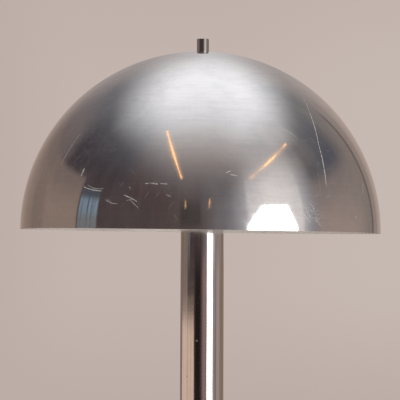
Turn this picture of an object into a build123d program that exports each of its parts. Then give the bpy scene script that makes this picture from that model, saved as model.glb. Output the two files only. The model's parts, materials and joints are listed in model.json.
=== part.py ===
from build123d import *
import os
from math import cos, radians, sin, sqrt

# Mushroom floor lamp, at real size in millimetres.
# Origin: on the floor at the middle of the base. +Z up, +X to the right of someone who faces the lamp,
# -Y towards them. The cord inlet is at the back, on the +Y side.
#
# A heavy round base carries a plain chromed tube. Inside the shade the tube ends in a hub with three bent
# arms, each with a screw lampholder and an opal bulb. A rod stands on the hub inside a spacer sleeve and
# carries the hemispherical aluminium shade, which a cylindrical finial nut clamps from above.

# ---------------------------------------------------------------- fits and clearances
rest_gap = 0.3            # between a soft or loose piece and the seat that carries it
slip_gap = 0.1            # between pieces that slide or turn in each other
screw_gap = 0.1           # radial, between a thread or shank and its hole
sleeve_gap = 0.2          # radial, between the rod and the spacer sleeve
grommet_gap = 0.4         # radial, between the rod and the grommet
thread_gap = 0.4          # radial, between a bulb's cap and its screw shell
shell_gap = 0.5           # radial, between a screw shell and the skirt round it
neck_gap = 0.5            # radial, between a bulb's neck and the skirt's mouth
plug_gap = 0.2            # radial, between a bulb's glass and the inside of its cap
lead_gap = 0.7            # radial, between a lead and its arm
terminal_gap = 2.1        # between the terminal block and the inner ends of the arms
ballast_side_gap = 8.5    # between the ballast and the cover's side

# ---------------------------------------------------------------- shade
shade_diameter = 500.0    # outside, across the open rim
shade_wall = 1.2
crown_flat_diameter = 40.0
shade_lean = 0.6          # degrees out of level, lower on the +X side: the soft grommet lets it hang so
lifted_clear = 15.0       # height of the rim above the rod once the shade has been lifted off

grommet_flange_margin = 1.5  # in from the edge of the crown's flat
grommet_flange_thickness = 1.5
grommet_wall = 1.1

# ---------------------------------------------------------------- finial nut
finial_diameter = 17.0
finial_height = 19.0
finial_chamfer = 0.6
finial_spigot_wall = 1.1
finial_thread_depth = 13.0
finial_washer_margin = 0.4  # in from the finial's side
finial_washer_thickness = 1.0

# ---------------------------------------------------------------- rod, spacer sleeve and seat
rod_diameter = 10.0
rod_engagement = 9.0      # thread in the finial, above its shoulder
sleeve_wall = 1.8
sleeve_length = 182.0
seat_thickness = 2.5
seat_chamfer = 1.2

# ---------------------------------------------------------------- stem
stem_diameter = 60.3
stem_wall = 2.0
stem_length = 1215.0
foot_plug_height = 12.0
cord_bore_diameter = 14.0
cap_thickness = 4.0
cap_web = 6.0             # thickness over the middle, where the nipple goes through
cap_spigot_length = 16.0
cap_spigot_wall = 6.0
cap_chamfer = 0.8
grub_diameter = 4.0
grub_length = 6.0
grub_recess = 0.2
grub_drop = 8.0           # below the tube's end
grub_count = 3
grub_socket_flats = 2.0
grub_socket_depth = 2.5

# ---------------------------------------------------------------- base
base_diameter = 340.0
cover_wall = 1.5
cover_floor_gap = 2.0
cover_side_height = 24.0  # height at which side and crown would meet without their rounding
cover_corner_radius = 10.0
cover_flat_margin = 1.0   # out from the ballast's boss
pad_margin = 4.0          # in from the ballast's side
pad_bore_margin = 5.0     # out from the screw well
pad_thickness = 3.0
ballast_plate_height = 17.0
ballast_boss_height = 25.5
ballast_boss_diameter = 84.0
ballast_edge_chamfer = 2.0
screw_well_diameter = 80.0
screw_well_depth = 9.0
cord_channel_width = 10.0
cord_channel_height = 11.0
foot_screw_circle = 36.0
foot_screw_diameter = 8.0
foot_screw_length = 28.0
foot_screw_flats = 13.0
foot_screw_head_height = 5.3
foot_screw_count = 3
screw_azimuth = 30.0      # degrees, of the first screw in each circle of screws: between two arms
cord_azimuth = 90.0       # degrees, towards the back
foot_washer_diameter = 16.0
foot_washer_thickness = 1.6

bush_bore_diameter = 6.4
bush_wall = 1.3
bush_neck_length = 5.5
bush_flange_lip = 1.0
bush_flange_thickness = 2.0
bush_flange_chamfer = 0.7
bush_barb_height = 0.5
bush_barb_length = 2.5

# ---------------------------------------------------------------- hub
hub_diameter = 50.0
hub_height = 40.0
hub_wall = 6.0
hub_floor_thickness = 4.0
hub_edge_chamfer = 2.0
hub_boss_wall = 3.4
hub_boss_length = 3.0
arm_level = 18.0          # of the arms' axes above the hub's inner floor
nipple_diameter = 10.0
nipple_wall = 1.5
thread_past_nut = 2.0
nut_wall = 1.9            # between a nut's thread and its flats
nut_thickness = 4.0
lid_thickness = 3.0
lid_spigot_height = 2.0
lid_boss_wall = 3.9
lid_boss_height = 7.0
lid_screw_diameter = 3.0
lid_screw_length = 10.0
lid_screw_head_diameter = 5.6
lid_screw_head_height = 2.0
lid_screw_count = 3
terminal_block_height = 18.0
terminal_hole_diameter = 2.6
terminal_hole_count = 2

# ---------------------------------------------------------------- arms
arm_count = 3
first_arm_azimuth = 90.0  # degrees, towards the back
arm_diameter = 10.0
arm_wall = 1.5
arm_level_run = 6.0       # outside the hub's boss, before the bend
arm_bend_radius = 20.0
arm_end_run = 10.0
arm_nut_thickness = 3.0
arm_past_nut = 1.5
bulb_elevation = 50.0     # of the bulbs' axes above the horizontal

# ---------------------------------------------------------------- lampholder, along its own axis
arm_in_holder = 8.0
holder_neck_wall = 2.4
holder_neck_length = 5.0
holder_wall = 2.7
holder_knee_step = 2.5    # in from the side, where the cap's steep cone meets its flat one
holder_knee_height = 11.5
holder_full_height = 17.0  # where the cap reaches the full diameter
holder_cap_length = 26.0
holder_cap_floor = 12.0   # where the wiring space has its full width
holder_shoulder = 18.0    # where the insert is seated
holder_shoulder_width = 2.0
holder_length = 60.0
holder_taper = 1.0        # of the skirt, radial, towards its mouth
holder_mouth_chamfer = 1.5
skirt_wall = 2.7
insert_flange_thickness = 3.0
insert_length = 12.5
insert_hole_diameter = 3.0
insert_hole_spacing = 14.0
shell_wall = 0.5
shell_length = 27.0
contact_length = 9.0
contact_width = 5.0
contact_thickness = 0.6
contact_rise = 2.2        # of its sprung end above the insert
contact_bend = 1.5        # half the length of its sloping middle

# ---------------------------------------------------------------- bulb, along its own axis
bulb_diameter = 60.0
bulb_neck_run = 9.3       # from the cap to where the glass begins to widen
bulb_shoulder_radius = 35.0
bulb_plug_length = 8.0    # glass inside the cap
bulb_cap_diameter = 26.2
bulb_cap_wall = 0.6
bulb_cap_length = 23.0
bulb_cap_cone_height = 4.2
bulb_cap_floor = 6.0
bulb_contact_diameter = 9.0
thread_clear = 1.0        # between cap and screw shell once the bulb has been unscrewed

# ---------------------------------------------------------------- places that follow from the sizes
stem_radius = stem_diameter / 2
stem_bore_radius = stem_radius - stem_wall
base_radius = base_diameter / 2
ballast_diameter = base_diameter - 2 * (cover_wall + ballast_side_gap)
pad_diameter = ballast_diameter - 2 * pad_margin
pad_bore_diameter = screw_well_diameter + 2 * pad_bore_margin
foot_hole_diameter = foot_screw_diameter + 2 * screw_gap
cover_flat_diameter = ballast_boss_diameter + 2 * cover_flat_margin
bush_neck_diameter = bush_bore_diameter + 2 * bush_wall
bush_flange_diameter = bush_neck_diameter + 2 * bush_flange_lip

hub_radius = hub_diameter / 2
hub_bore_radius = hub_radius - hub_wall
lid_screw_circle = hub_diameter - hub_wall  # along the middle of the hub's wall
nipple_hole_diameter = nipple_diameter + 2 * screw_gap
nipple_nut_flats = nipple_hole_diameter + 2 * nut_wall
arm_hole_diameter = arm_diameter + 2 * screw_gap
arm_nut_flats = arm_hole_diameter + 2 * nut_wall
hub_boss_diameter = arm_hole_diameter + 2 * hub_boss_wall
rod_hole_diameter = rod_diameter + 2 * screw_gap
lid_boss_diameter = rod_hole_diameter + 2 * lid_boss_wall

shade_radius = shade_diameter / 2
crown_depth = sqrt(shade_radius**2 - (crown_flat_diameter / 2) ** 2)  # outside, rim to crown flat
seat_diameter = crown_flat_diameter
sleeve_bore_diameter = rod_diameter + 2 * sleeve_gap
sleeve_diameter = sleeve_bore_diameter + 2 * sleeve_wall
grommet_bore_diameter = rod_diameter + 2 * grommet_gap
grommet_neck_diameter = grommet_bore_diameter + 2 * grommet_wall
grommet_flange_diameter = crown_flat_diameter - 2 * grommet_flange_margin
finial_spigot_diameter = rod_hole_diameter + 2 * finial_spigot_wall
finial_washer_diameter = finial_diameter - 2 * finial_washer_margin

# A lampholder is as wide as what it holds: the bulb's cap, the screw shell, the skirt and the holder's cap
bulb_radius = bulb_diameter / 2
shell_radius = bulb_cap_diameter / 2 + thread_gap + shell_wall
skirt_bore_diameter = 2 * (shell_radius + shell_gap)
skirt_spigot_diameter = skirt_bore_diameter + 2 * skirt_wall
cap_inside_radius = skirt_spigot_diameter / 2 + slip_gap
holder_radius = cap_inside_radius + holder_wall
bulb_neck_radius = skirt_bore_diameter / 2 - neck_gap

plate_top = pad_thickness + ballast_plate_height
boss_top = pad_thickness + ballast_boss_height
screw_well_top = pad_thickness + screw_well_depth
bush_height = pad_thickness + cord_channel_height / 2
stem_bottom = boss_top + cover_wall
stem_top = stem_bottom + stem_length
grub_height = stem_top - grub_drop
cap_top = stem_top + cap_thickness
hub_floor = cap_top + hub_floor_thickness
hub_top = cap_top + hub_height
arm_height = hub_floor + arm_level
lid_top = hub_top + lid_thickness
lid_boss_bottom = hub_top - lid_boss_height
sleeve_top = lid_top + sleeve_length
seat_top = sleeve_top + seat_thickness
crown_inside = seat_top + rest_gap + grommet_flange_thickness
crown_outside = crown_inside + shade_wall
washer_bottom = crown_outside + rest_gap
finial_shoulder = washer_bottom + finial_washer_thickness + slip_gap
finial_top = finial_shoulder + finial_height
rod_top = finial_shoulder + rod_engagement
rim_height = crown_outside - crown_depth
shade_travel = rod_top + lifted_clear - rim_height

# Lampholder and bulb heights, along the holder's axis from the end that takes the arm
flange_top = holder_shoulder + insert_flange_thickness
insert_top = holder_shoulder + insert_length
bulb_seat = insert_top + contact_rise + rest_gap
bulb_travel = flange_top + shell_length + thread_clear - bulb_seat

# Arms, their nuts and leads, as distances from the lamp's axis
hexagon_corner = 1 / cos(radians(30))  # a hexagon's reach at its corners, over its reach at its flats
arm_azimuths = [first_arm_azimuth + 360 / arm_count * turn for turn in range(arm_count)]
arm_bend_start = hub_radius + hub_boss_length + arm_level_run
arm_nut_reach = arm_nut_flats / 2 * hexagon_corner
arm_nut_seat = sqrt(hub_bore_radius**2 - arm_nut_reach**2) - slip_gap
arm_inner_end = arm_nut_seat - arm_nut_thickness - arm_past_nut
arm_bore_diameter = arm_diameter - 2 * arm_wall
lead_diameter = arm_bore_diameter - 2 * lead_gap
terminal_block_diameter = 2 * (arm_inner_end - terminal_gap)
terminal_hole_circle = (terminal_block_diameter + nipple_hole_diameter) / 2
lead_inner_end = terminal_block_diameter / 2 + rest_gap
lead_past_arm = holder_shoulder - arm_in_holder - slip_gap

# The shade and its grommet lean about the middle of the crown's underside
shade_frame = Plane(origin=(0, 0, crown_inside)).rotated((0, shade_lean, 0))
shade_side = Plane(origin=shade_frame.origin, x_dir=shade_frame.x_dir, z_dir=-shade_frame.y_dir)
shade_axis = Axis(shade_frame.origin, shade_frame.z_dir)
up = Vector(0, 0, 1)

os.makedirs("parts", exist_ok=True)


def finish(piece, name):
    """Labels a finished piece and writes it to its own file."""
    piece.part.label = name
    export_step(piece.part, f"parts/{name}.step")


def side_plane(azimuth, height):
    """An upright plane through the lamp's axis: X runs outwards and Y up, from a point on the axis."""
    outwards = Vector(cos(radians(azimuth)), sin(radians(azimuth)), 0)
    return Plane(origin=height * up, x_dir=outwards, z_dir=outwards.cross(up))


def radial_plane(azimuth, distance, height):
    """A plane that faces away from the lamp's axis."""
    outwards = Vector(cos(radians(azimuth)), sin(radians(azimuth)), 0)
    return Plane(origin=distance * outwards + height * up, x_dir=up, z_dir=outwards)


def drill_radially(azimuths, height, diameter, start, end):
    """Cuts a hole into the piece in hand at each azimuth, from one distance from the axis to another."""
    for azimuth in azimuths:
        with BuildSketch(radial_plane(azimuth, start, height)) as hole:
            Circle(diameter / 2)
        extrude(hole.sketch, amount=end - start, mode=Mode.SUBTRACT)


def drill_circle(plane, circle, count, diameter, depth):
    """Cuts a circle of equal holes into the piece in hand, down from a plane."""
    with BuildSketch(plane) as holes:
        with PolarLocations(circle / 2, count, start_angle=screw_azimuth):
            Circle(diameter / 2)
    extrude(holes.sketch, amount=-depth, mode=Mode.SUBTRACT)


def ring(plane, outer_diameter, inner_diameter, height):
    """Adds a ring to the piece in hand, up from a plane."""
    with BuildSketch(plane) as section:
        Circle(outer_diameter / 2)
        Circle(inner_diameter / 2, mode=Mode.SUBTRACT)
    extrude(section.sketch, amount=height)


def hexagon_nut(plane, flats, bore_diameter, height):
    """Adds a hexagon nut to the piece in hand, up from a plane."""
    with BuildSketch(plane) as section:
        RegularPolygon(flats / 2, 6, major_radius=False)
        Circle(bore_diameter / 2, mode=Mode.SUBTRACT)
    extrude(section.sketch, amount=height)


def arm_route(side, inner_end, end_run):
    """The centre line of an arm, in its own upright plane: a level run, a bend and a straight end."""
    with BuildLine(side) as route:
        level = Line((inner_end, 0), (arm_bend_start, 0))
        bend = JernArc(level @ 1, level % 1, arm_bend_radius, bulb_elevation)
        Line(bend @ 1, bend @ 1 + end_run * (bend % 1))
    return route.line


def holder_plane(side):
    """A lampholder's upright plane: its Y runs along the holder's axis, from the end that takes the arm."""
    rise = radians(bulb_elevation)
    end_x = arm_bend_start + arm_bend_radius * sin(rise) + (arm_end_run - arm_in_holder) * cos(rise)
    end_y = arm_bend_radius * (1 - cos(rise)) + (arm_end_run - arm_in_holder) * sin(rise)
    outwards = sin(rise) * side.x_dir - cos(rise) * side.y_dir
    return Plane(origin=side.from_local_coords((end_x, end_y)), x_dir=outwards, z_dir=side.z_dir)


# ---------------------------------------------------------------- base
with BuildPart() as base_pad:
    ring(Plane.XY, pad_diameter, pad_bore_diameter, pad_thickness)
finish(base_pad, "base_pad")

with BuildPart() as base_ballast:
    with BuildSketch(Plane.XY.offset(pad_thickness)):
        Circle(ballast_diameter / 2)
    extrude(amount=ballast_plate_height)
    chamfer(base_ballast.edges().group_by(Axis.Z)[-1], ballast_edge_chamfer)
    with BuildSketch(Plane.XY.offset(plate_top)):
        Circle(ballast_boss_diameter / 2)
    extrude(amount=boss_top - plate_top)
    with BuildSketch(Plane.XY.offset(pad_thickness)):
        Circle(screw_well_diameter / 2)
    extrude(amount=screw_well_depth, mode=Mode.SUBTRACT)
    with BuildSketch(Plane.XY.offset(pad_thickness)):
        with Locations((0, ballast_diameter / 4)):
            Rectangle(cord_channel_width, ballast_diameter / 2)
    extrude(amount=cord_channel_height, mode=Mode.SUBTRACT)
    with BuildSketch(Plane.XY.offset(boss_top)):
        Circle(cord_bore_diameter / 2)
    extrude(amount=-ballast_boss_height, mode=Mode.SUBTRACT)
    drill_circle(
        Plane.XY.offset(boss_top),
        foot_screw_circle,
        foot_screw_count,
        foot_hole_diameter,
        ballast_boss_height,
    )
finish(base_ballast, "base_ballast")

with BuildPart() as base_cover:
    with BuildSketch(Plane.XZ) as cover_profile:
        with BuildLine():
            floor_line = Line((0, cover_floor_gap), (base_radius, cover_floor_gap))
            side_line = Line(floor_line @ 1, (base_radius, cover_side_height))
            Polyline(side_line @ 1, (cover_flat_diameter / 2, stem_bottom), (0, stem_bottom), floor_line @ 0)
        make_face()
        corner = cover_profile.vertices().group_by(Axis.X)[-1].sort_by(Axis.Y)[-1]
        fillet(corner, cover_corner_radius)
    revolve(axis=Axis.Z)
    offset(amount=-cover_wall, openings=base_cover.faces().sort_by(Axis.Z)[0])
    through_cover = 2 * cover_wall  # deeper than the wall, so that each cut goes right through
    with BuildSketch(Plane.XY.offset(stem_bottom)):
        Circle(cord_bore_diameter / 2)
    extrude(amount=-through_cover, mode=Mode.SUBTRACT)
    drill_circle(
        Plane.XY.offset(stem_bottom),
        foot_screw_circle,
        foot_screw_count,
        foot_hole_diameter,
        through_cover,
    )
    drill_radially(
        [cord_azimuth],
        bush_height,
        bush_neck_diameter + 2 * slip_gap,
        base_radius - through_cover,
        base_radius + cover_wall,
    )
finish(base_cover, "base_cover")

with BuildPart() as cord_bush:
    with BuildSketch(Plane.YZ):
        with BuildLine():
            inner_end = base_radius - bush_neck_length
            barb_face = base_radius - cover_wall - rest_gap
            bore_line = bush_height + bush_bore_diameter / 2
            neck_line = bush_height + bush_neck_diameter / 2
            flange_line = bush_height + bush_flange_diameter / 2
            flange_face = base_radius + bush_flange_thickness
            Polyline(
                (inner_end, bore_line),
                (inner_end, neck_line),
                (barb_face - bush_barb_length, neck_line),
                (barb_face, neck_line + bush_barb_height),
                (barb_face, neck_line),
                (base_radius, neck_line),
                (base_radius, flange_line),
                (flange_face - bush_flange_chamfer, flange_line),
                (flange_face, flange_line - bush_flange_chamfer),
                (flange_face, bore_line),
                close=True,
            )
        make_face()
    revolve(axis=Axis((0, 0, bush_height), (0, 1, 0)))
finish(cord_bush, "cord_bush")

with BuildPart() as foot_washers:
    washer_plane = Plane.XY.offset(screw_well_top - foot_washer_thickness)
    with BuildSketch(washer_plane):
        with PolarLocations(foot_screw_circle / 2, foot_screw_count, start_angle=screw_azimuth):
            Circle(foot_washer_diameter / 2)
            Circle(foot_hole_diameter / 2, mode=Mode.SUBTRACT)
    extrude(amount=foot_washer_thickness)
finish(foot_washers, "foot_washers")

with BuildPart() as foot_screws:
    head_plane = washer_plane.offset(-foot_screw_head_height)
    with BuildSketch(head_plane):
        with PolarLocations(foot_screw_circle / 2, foot_screw_count, start_angle=screw_azimuth):
            RegularPolygon(foot_screw_flats / 2, 6, major_radius=False)
    extrude(amount=foot_screw_head_height)
    with BuildSketch(washer_plane):
        with PolarLocations(foot_screw_circle / 2, foot_screw_count, start_angle=screw_azimuth):
            Circle(foot_screw_diameter / 2)
    extrude(amount=foot_screw_length)
finish(foot_screws, "foot_screws")

# ---------------------------------------------------------------- stem
grub_azimuths = [90 + 360 / grub_count * turn for turn in range(grub_count)]
grub_hole_diameter = grub_diameter + 2 * screw_gap
grub_inner_end = stem_radius - grub_recess - grub_length
cap_spigot_radius = stem_bore_radius - slip_gap
cap_spigot_bottom = stem_top - cap_spigot_length

with BuildPart() as stem_foot:
    foot_diameter = 2 * (stem_bore_radius - slip_gap)
    ring(Plane.XY.offset(stem_bottom), foot_diameter, cord_bore_diameter, foot_plug_height)
    drill_circle(
        Plane.XY.offset(stem_bottom + foot_plug_height),
        foot_screw_circle,
        foot_screw_count,
        foot_hole_diameter,
        foot_plug_height,
    )
finish(stem_foot, "stem_foot")

with BuildPart() as stem_tube:
    ring(Plane.XY.offset(stem_bottom), stem_diameter, 2 * stem_bore_radius, stem_length)
    drill_radially(
        grub_azimuths,
        grub_height,
        grub_hole_diameter,
        stem_bore_radius - stem_wall,
        stem_radius + stem_wall,
    )
finish(stem_tube, "stem_tube")

with BuildPart() as stem_cap:
    with BuildSketch(Plane.XY.offset(stem_top)):
        Circle(stem_radius)
    extrude(amount=cap_thickness)
    chamfer(stem_cap.edges().group_by(Axis.Z)[-1], cap_chamfer)
    with BuildSketch(Plane.XY.offset(cap_spigot_bottom)):
        Circle(cap_spigot_radius)
    extrude(amount=cap_spigot_length)
    with BuildSketch(Plane.XY.offset(cap_top - cap_web)):
        Circle(cap_spigot_radius - cap_spigot_wall)
    extrude(amount=-cap_spigot_length, mode=Mode.SUBTRACT)
    with BuildSketch(Plane.XY.offset(cap_top)):
        Circle(nipple_hole_diameter / 2)
    extrude(amount=-cap_web, mode=Mode.SUBTRACT)
    drill_radially(grub_azimuths, grub_height, grub_hole_diameter, grub_inner_end, stem_radius)
finish(stem_cap, "stem_cap")

with BuildPart() as cap_screws:
    for azimuth in grub_azimuths:
        with BuildSketch(radial_plane(azimuth, grub_inner_end, grub_height)):
            Circle(grub_diameter / 2)
        extrude(amount=grub_length)
        with BuildSketch(radial_plane(azimuth, stem_radius - grub_recess, grub_height)):
            RegularPolygon(grub_socket_flats / 2, 6, major_radius=False)
        extrude(amount=-grub_socket_depth, mode=Mode.SUBTRACT)
finish(cap_screws, "cap_screws")

# ---------------------------------------------------------------- hub
lower_nut_plane = Plane.XY.offset(cap_top - cap_web - nut_thickness)
upper_nut_plane = Plane.XY.offset(hub_floor)
nipple_bottom = cap_top - cap_web - nut_thickness - thread_past_nut
nipple_top = hub_floor + nut_thickness + thread_past_nut

with BuildPart() as hub_nipple:
    nipple_bore_diameter = nipple_diameter - 2 * nipple_wall
    ring(Plane.XY.offset(nipple_bottom), nipple_diameter, nipple_bore_diameter, nipple_top - nipple_bottom)
finish(hub_nipple, "hub_nipple")

with BuildPart() as nipple_nuts:
    for nut_plane in (lower_nut_plane, upper_nut_plane):
        hexagon_nut(nut_plane, nipple_nut_flats, nipple_hole_diameter, nut_thickness)
finish(nipple_nuts, "nipple_nuts")

with BuildPart() as cluster_hub:
    with BuildSketch(Plane.XY.offset(cap_top)):
        Circle(hub_radius)
    extrude(amount=hub_height)
    chamfer(cluster_hub.edges().group_by(Axis.Z)[0], hub_edge_chamfer)
    for azimuth in arm_azimuths:
        with BuildSketch(radial_plane(azimuth, hub_bore_radius, arm_height)):
            Circle(hub_boss_diameter / 2)
        extrude(amount=hub_wall + hub_boss_length)
    with BuildSketch(upper_nut_plane):
        Circle(hub_bore_radius)
    extrude(amount=hub_height, mode=Mode.SUBTRACT)
    with BuildSketch(Plane.XY.offset(cap_top)):
        Circle(nipple_hole_diameter / 2)
    extrude(amount=hub_floor_thickness, mode=Mode.SUBTRACT)
    drill_radially(
        arm_azimuths,
        arm_height,
        arm_hole_diameter,
        hub_bore_radius - hub_wall,
        hub_radius + hub_boss_length,
    )
    drill_circle(
        Plane.XY.offset(hub_top),
        lid_screw_circle,
        lid_screw_count,
        lid_screw_diameter + 2 * screw_gap,
        lid_screw_length,
    )
finish(cluster_hub, "cluster_hub")

with BuildPart() as terminal_block:
    block_plane = upper_nut_plane.offset(nut_thickness)
    ring(block_plane, terminal_block_diameter, nipple_hole_diameter, terminal_block_height)
    with BuildSketch(block_plane):
        with PolarLocations(terminal_hole_circle / 2, terminal_hole_count):
            Circle(terminal_hole_diameter / 2)
    extrude(amount=terminal_block_height, mode=Mode.SUBTRACT)
finish(terminal_block, "terminal_block")

with BuildPart() as hub_lid:
    with BuildSketch(Plane.XY.offset(hub_top)):
        Circle(hub_radius)
    extrude(amount=lid_thickness)
    chamfer(hub_lid.edges().group_by(Axis.Z)[-1], cap_chamfer)
    with BuildSketch(Plane.XY.offset(hub_top)):
        Circle(hub_bore_radius - slip_gap)
    extrude(amount=-lid_spigot_height)
    with BuildSketch(Plane.XY.offset(hub_top)):
        Circle(lid_boss_diameter / 2)
    extrude(amount=-lid_boss_height)
    with BuildSketch(Plane.XY.offset(lid_top)):
        Circle(rod_hole_diameter / 2)
    extrude(amount=lid_boss_bottom - lid_top, mode=Mode.SUBTRACT)
    drill_circle(
        Plane.XY.offset(lid_top),
        lid_screw_circle,
        lid_screw_count,
        lid_screw_diameter + 2 * screw_gap,
        lid_thickness,
    )
finish(hub_lid, "hub_lid")

with BuildPart() as lid_screws:
    with BuildSketch(Plane.XY.offset(lid_top)):
        with PolarLocations(lid_screw_circle / 2, lid_screw_count, start_angle=screw_azimuth):
            Circle(lid_screw_head_diameter / 2)
    extrude(amount=lid_screw_head_height)
    with BuildSketch(Plane.XY.offset(lid_top)):
        with PolarLocations(lid_screw_circle / 2, lid_screw_count, start_angle=screw_azimuth):
            Circle(lid_screw_diameter / 2)
    extrude(amount=-lid_screw_length)
finish(lid_screws, "lid_screws")

# ---------------------------------------------------------------- arms and their leads
arm_sides = [side_plane(azimuth, arm_height) for azimuth in arm_azimuths]

for number, side in enumerate(arm_sides, 1):
    with BuildPart() as arm:
        route = arm_route(side, arm_inner_end, arm_end_run)
        with BuildSketch(Plane(origin=route @ 0, z_dir=route % 0)):
            Circle(arm_diameter / 2)
            Circle(arm_bore_diameter / 2, mode=Mode.SUBTRACT)
        sweep(path=route)
    finish(arm, f"arm_{number}")

with BuildPart() as arm_nuts:
    for azimuth in arm_azimuths:
        nut_plane = radial_plane(azimuth, arm_nut_seat - arm_nut_thickness, arm_height)
        hexagon_nut(nut_plane, arm_nut_flats, arm_hole_diameter, arm_nut_thickness)
finish(arm_nuts, "arm_nuts")

with BuildPart() as arm_leads:
    for side in arm_sides:
        route = arm_route(side, lead_inner_end, arm_end_run + lead_past_arm)
        with BuildSketch(Plane(origin=route @ 0, z_dir=route % 0)):
            Circle(lead_diameter / 2)
        sweep(path=route)
finish(arm_leads, "arm_leads")

# ---------------------------------------------------------------- lampholders
holder_sides = [holder_plane(side) for side in arm_sides]

for number, side in enumerate(holder_sides, 1):
    holder_axis = Axis(side.origin, side.y_dir)

    with BuildPart() as holder_cap:
        with BuildSketch(side):
            with BuildLine():
                arm_hole_radius = arm_hole_diameter / 2
                neck_radius = arm_hole_radius + holder_neck_wall
                shoulder_radius = cap_inside_radius - holder_shoulder_width
                Polyline(
                    (holder_radius, holder_full_height),
                    (holder_radius - holder_knee_step, holder_knee_height),
                    (neck_radius, holder_neck_length),
                    (neck_radius, 0),
                    (arm_hole_radius, 0),
                    (arm_hole_radius, arm_in_holder),
                    (shoulder_radius, holder_cap_floor),
                    (shoulder_radius, holder_shoulder),
                    (cap_inside_radius, holder_shoulder),
                    (cap_inside_radius, holder_cap_length),
                    (holder_radius, holder_cap_length),
                    close=True,
                )
            make_face()
        revolve(axis=holder_axis)
    finish(holder_cap, f"holder_cap_{number}")

    with BuildPart() as holder_insert:
        flange_origin = side.from_local_coords((0, holder_shoulder))
        flange_plane = Plane(origin=flange_origin, x_dir=side.x_dir, z_dir=side.y_dir)
        with BuildSketch(flange_plane):
            Circle(skirt_spigot_diameter / 2)
        extrude(amount=insert_flange_thickness)
        with BuildSketch(flange_plane):
            Circle(shell_radius - shell_wall - slip_gap)
        extrude(amount=insert_length)
        with BuildSketch(flange_plane):
            with GridLocations(insert_hole_spacing, 0, 2, 1):
                Circle(insert_hole_diameter / 2)
        extrude(amount=insert_length, mode=Mode.SUBTRACT)
    finish(holder_insert, f"holder_insert_{number}")

    with BuildPart() as screw_shell:
        shell_plane = flange_plane.offset(insert_flange_thickness)
        ring(shell_plane, 2 * shell_radius, 2 * (shell_radius - shell_wall), shell_length)
    finish(screw_shell, f"screw_shell_{number}")

    with BuildPart() as centre_contact:
        with BuildSketch(side):
            with BuildLine():
                low = insert_top
                high = insert_top + contact_rise - contact_thickness
                Polyline(
                    (-contact_length / 2, low),
                    (-contact_bend, low),
                    (contact_bend, high),
                    (contact_length / 2, high),
                    (contact_length / 2, high + contact_thickness),
                    (contact_bend, high + contact_thickness),
                    (-contact_bend, low + contact_thickness),
                    (-contact_length / 2, low + contact_thickness),
                    close=True,
                )
            make_face()
        extrude(amount=contact_width / 2, both=True)
    finish(centre_contact, f"centre_contact_{number}")

    with BuildPart() as holder_skirt:
        with BuildSketch(side) as skirt_profile:
            with BuildLine():
                Polyline(
                    (skirt_bore_diameter / 2, flange_top),
                    (skirt_spigot_diameter / 2, flange_top),
                    (skirt_spigot_diameter / 2, holder_cap_length),
                    (holder_radius, holder_cap_length),
                    (holder_radius - holder_taper, holder_length),
                    (skirt_bore_diameter / 2, holder_length),
                    close=True,
                )
            make_face()
            chamfer(skirt_profile.vertices().group_by(Axis.Y)[-1].sort_by(Axis.X)[-1], holder_mouth_chamfer)
        revolve(axis=holder_axis)
    finish(holder_skirt, f"holder_skirt_{number}")

# ---------------------------------------------------------------- bulbs
neck_length = bulb_cap_length + bulb_neck_run
shoulder_centre_x = bulb_neck_radius + bulb_shoulder_radius
centre_distance = bulb_radius + bulb_shoulder_radius
ball_centre_y = neck_length + sqrt(centre_distance**2 - shoulder_centre_x**2)
bulb_length = ball_centre_y + bulb_radius

for number, side in enumerate(holder_sides, 1):
    bulb_side = Plane(origin=side.from_local_coords((0, bulb_seat)), x_dir=side.x_dir, z_dir=side.z_dir)
    bulb_axis = Axis(bulb_side.origin, bulb_side.y_dir)

    with BuildPart() as bulb_cap:
        with BuildSketch(bulb_side):
            with BuildLine():
                inside_radius = bulb_cap_diameter / 2 - bulb_cap_wall
                Polyline(
                    (0, 0),
                    (bulb_contact_diameter / 2, 0),
                    (bulb_cap_diameter / 2, bulb_cap_cone_height),
                    (bulb_cap_diameter / 2, bulb_cap_length),
                    (inside_radius, bulb_cap_length),
                    (inside_radius, bulb_cap_floor),
                    (0, bulb_cap_floor),
                    close=True,
                )
            make_face()
        revolve(axis=bulb_axis)
    finish(bulb_cap, f"bulb_cap_{number}")

    with BuildPart() as bulb_glass:
        with BuildSketch(bulb_side):
            with BuildLine():
                top = (0, bulb_length)
                neck_end = (bulb_neck_radius, neck_length)
                plug_radius = bulb_cap_diameter / 2 - bulb_cap_wall - plug_gap
                blend = bulb_radius / centre_distance
                ball_edge = (
                    blend * shoulder_centre_x,
                    ball_centre_y + blend * (neck_length - ball_centre_y),
                )
                TangentArc(neck_end, ball_edge, tangent=(0, 1))
                TangentArc(top, ball_edge, tangent=(1, 0))
                Polyline(
                    top,
                    (0, bulb_cap_length - bulb_plug_length),
                    (plug_radius, bulb_cap_length - bulb_plug_length),
                    (plug_radius, bulb_cap_length),
                    (bulb_neck_radius, bulb_cap_length),
                    neck_end,
                )
            make_face()
        revolve(axis=bulb_axis)
    finish(bulb_glass, f"bulb_glass_{number}")

# ---------------------------------------------------------------- rod, sleeve and seat
with BuildPart() as shade_rod:
    with BuildSketch(Plane.XY.offset(lid_boss_bottom)):
        Circle(rod_diameter / 2)
    extrude(amount=rod_top - lid_boss_bottom)
finish(shade_rod, "shade_rod")

with BuildPart() as rod_sleeve:
    ring(Plane.XY.offset(lid_top), sleeve_diameter, sleeve_bore_diameter, sleeve_length)
finish(rod_sleeve, "rod_sleeve")

with BuildPart() as shade_seat:
    ring(Plane.XY.offset(sleeve_top), seat_diameter, sleeve_bore_diameter, seat_thickness)
    lower_rim = shade_seat.edges().group_by(Axis.Z)[0].sort_by(SortBy.RADIUS)[-1]
    chamfer(lower_rim, seat_chamfer)
finish(shade_seat, "shade_seat")

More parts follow.
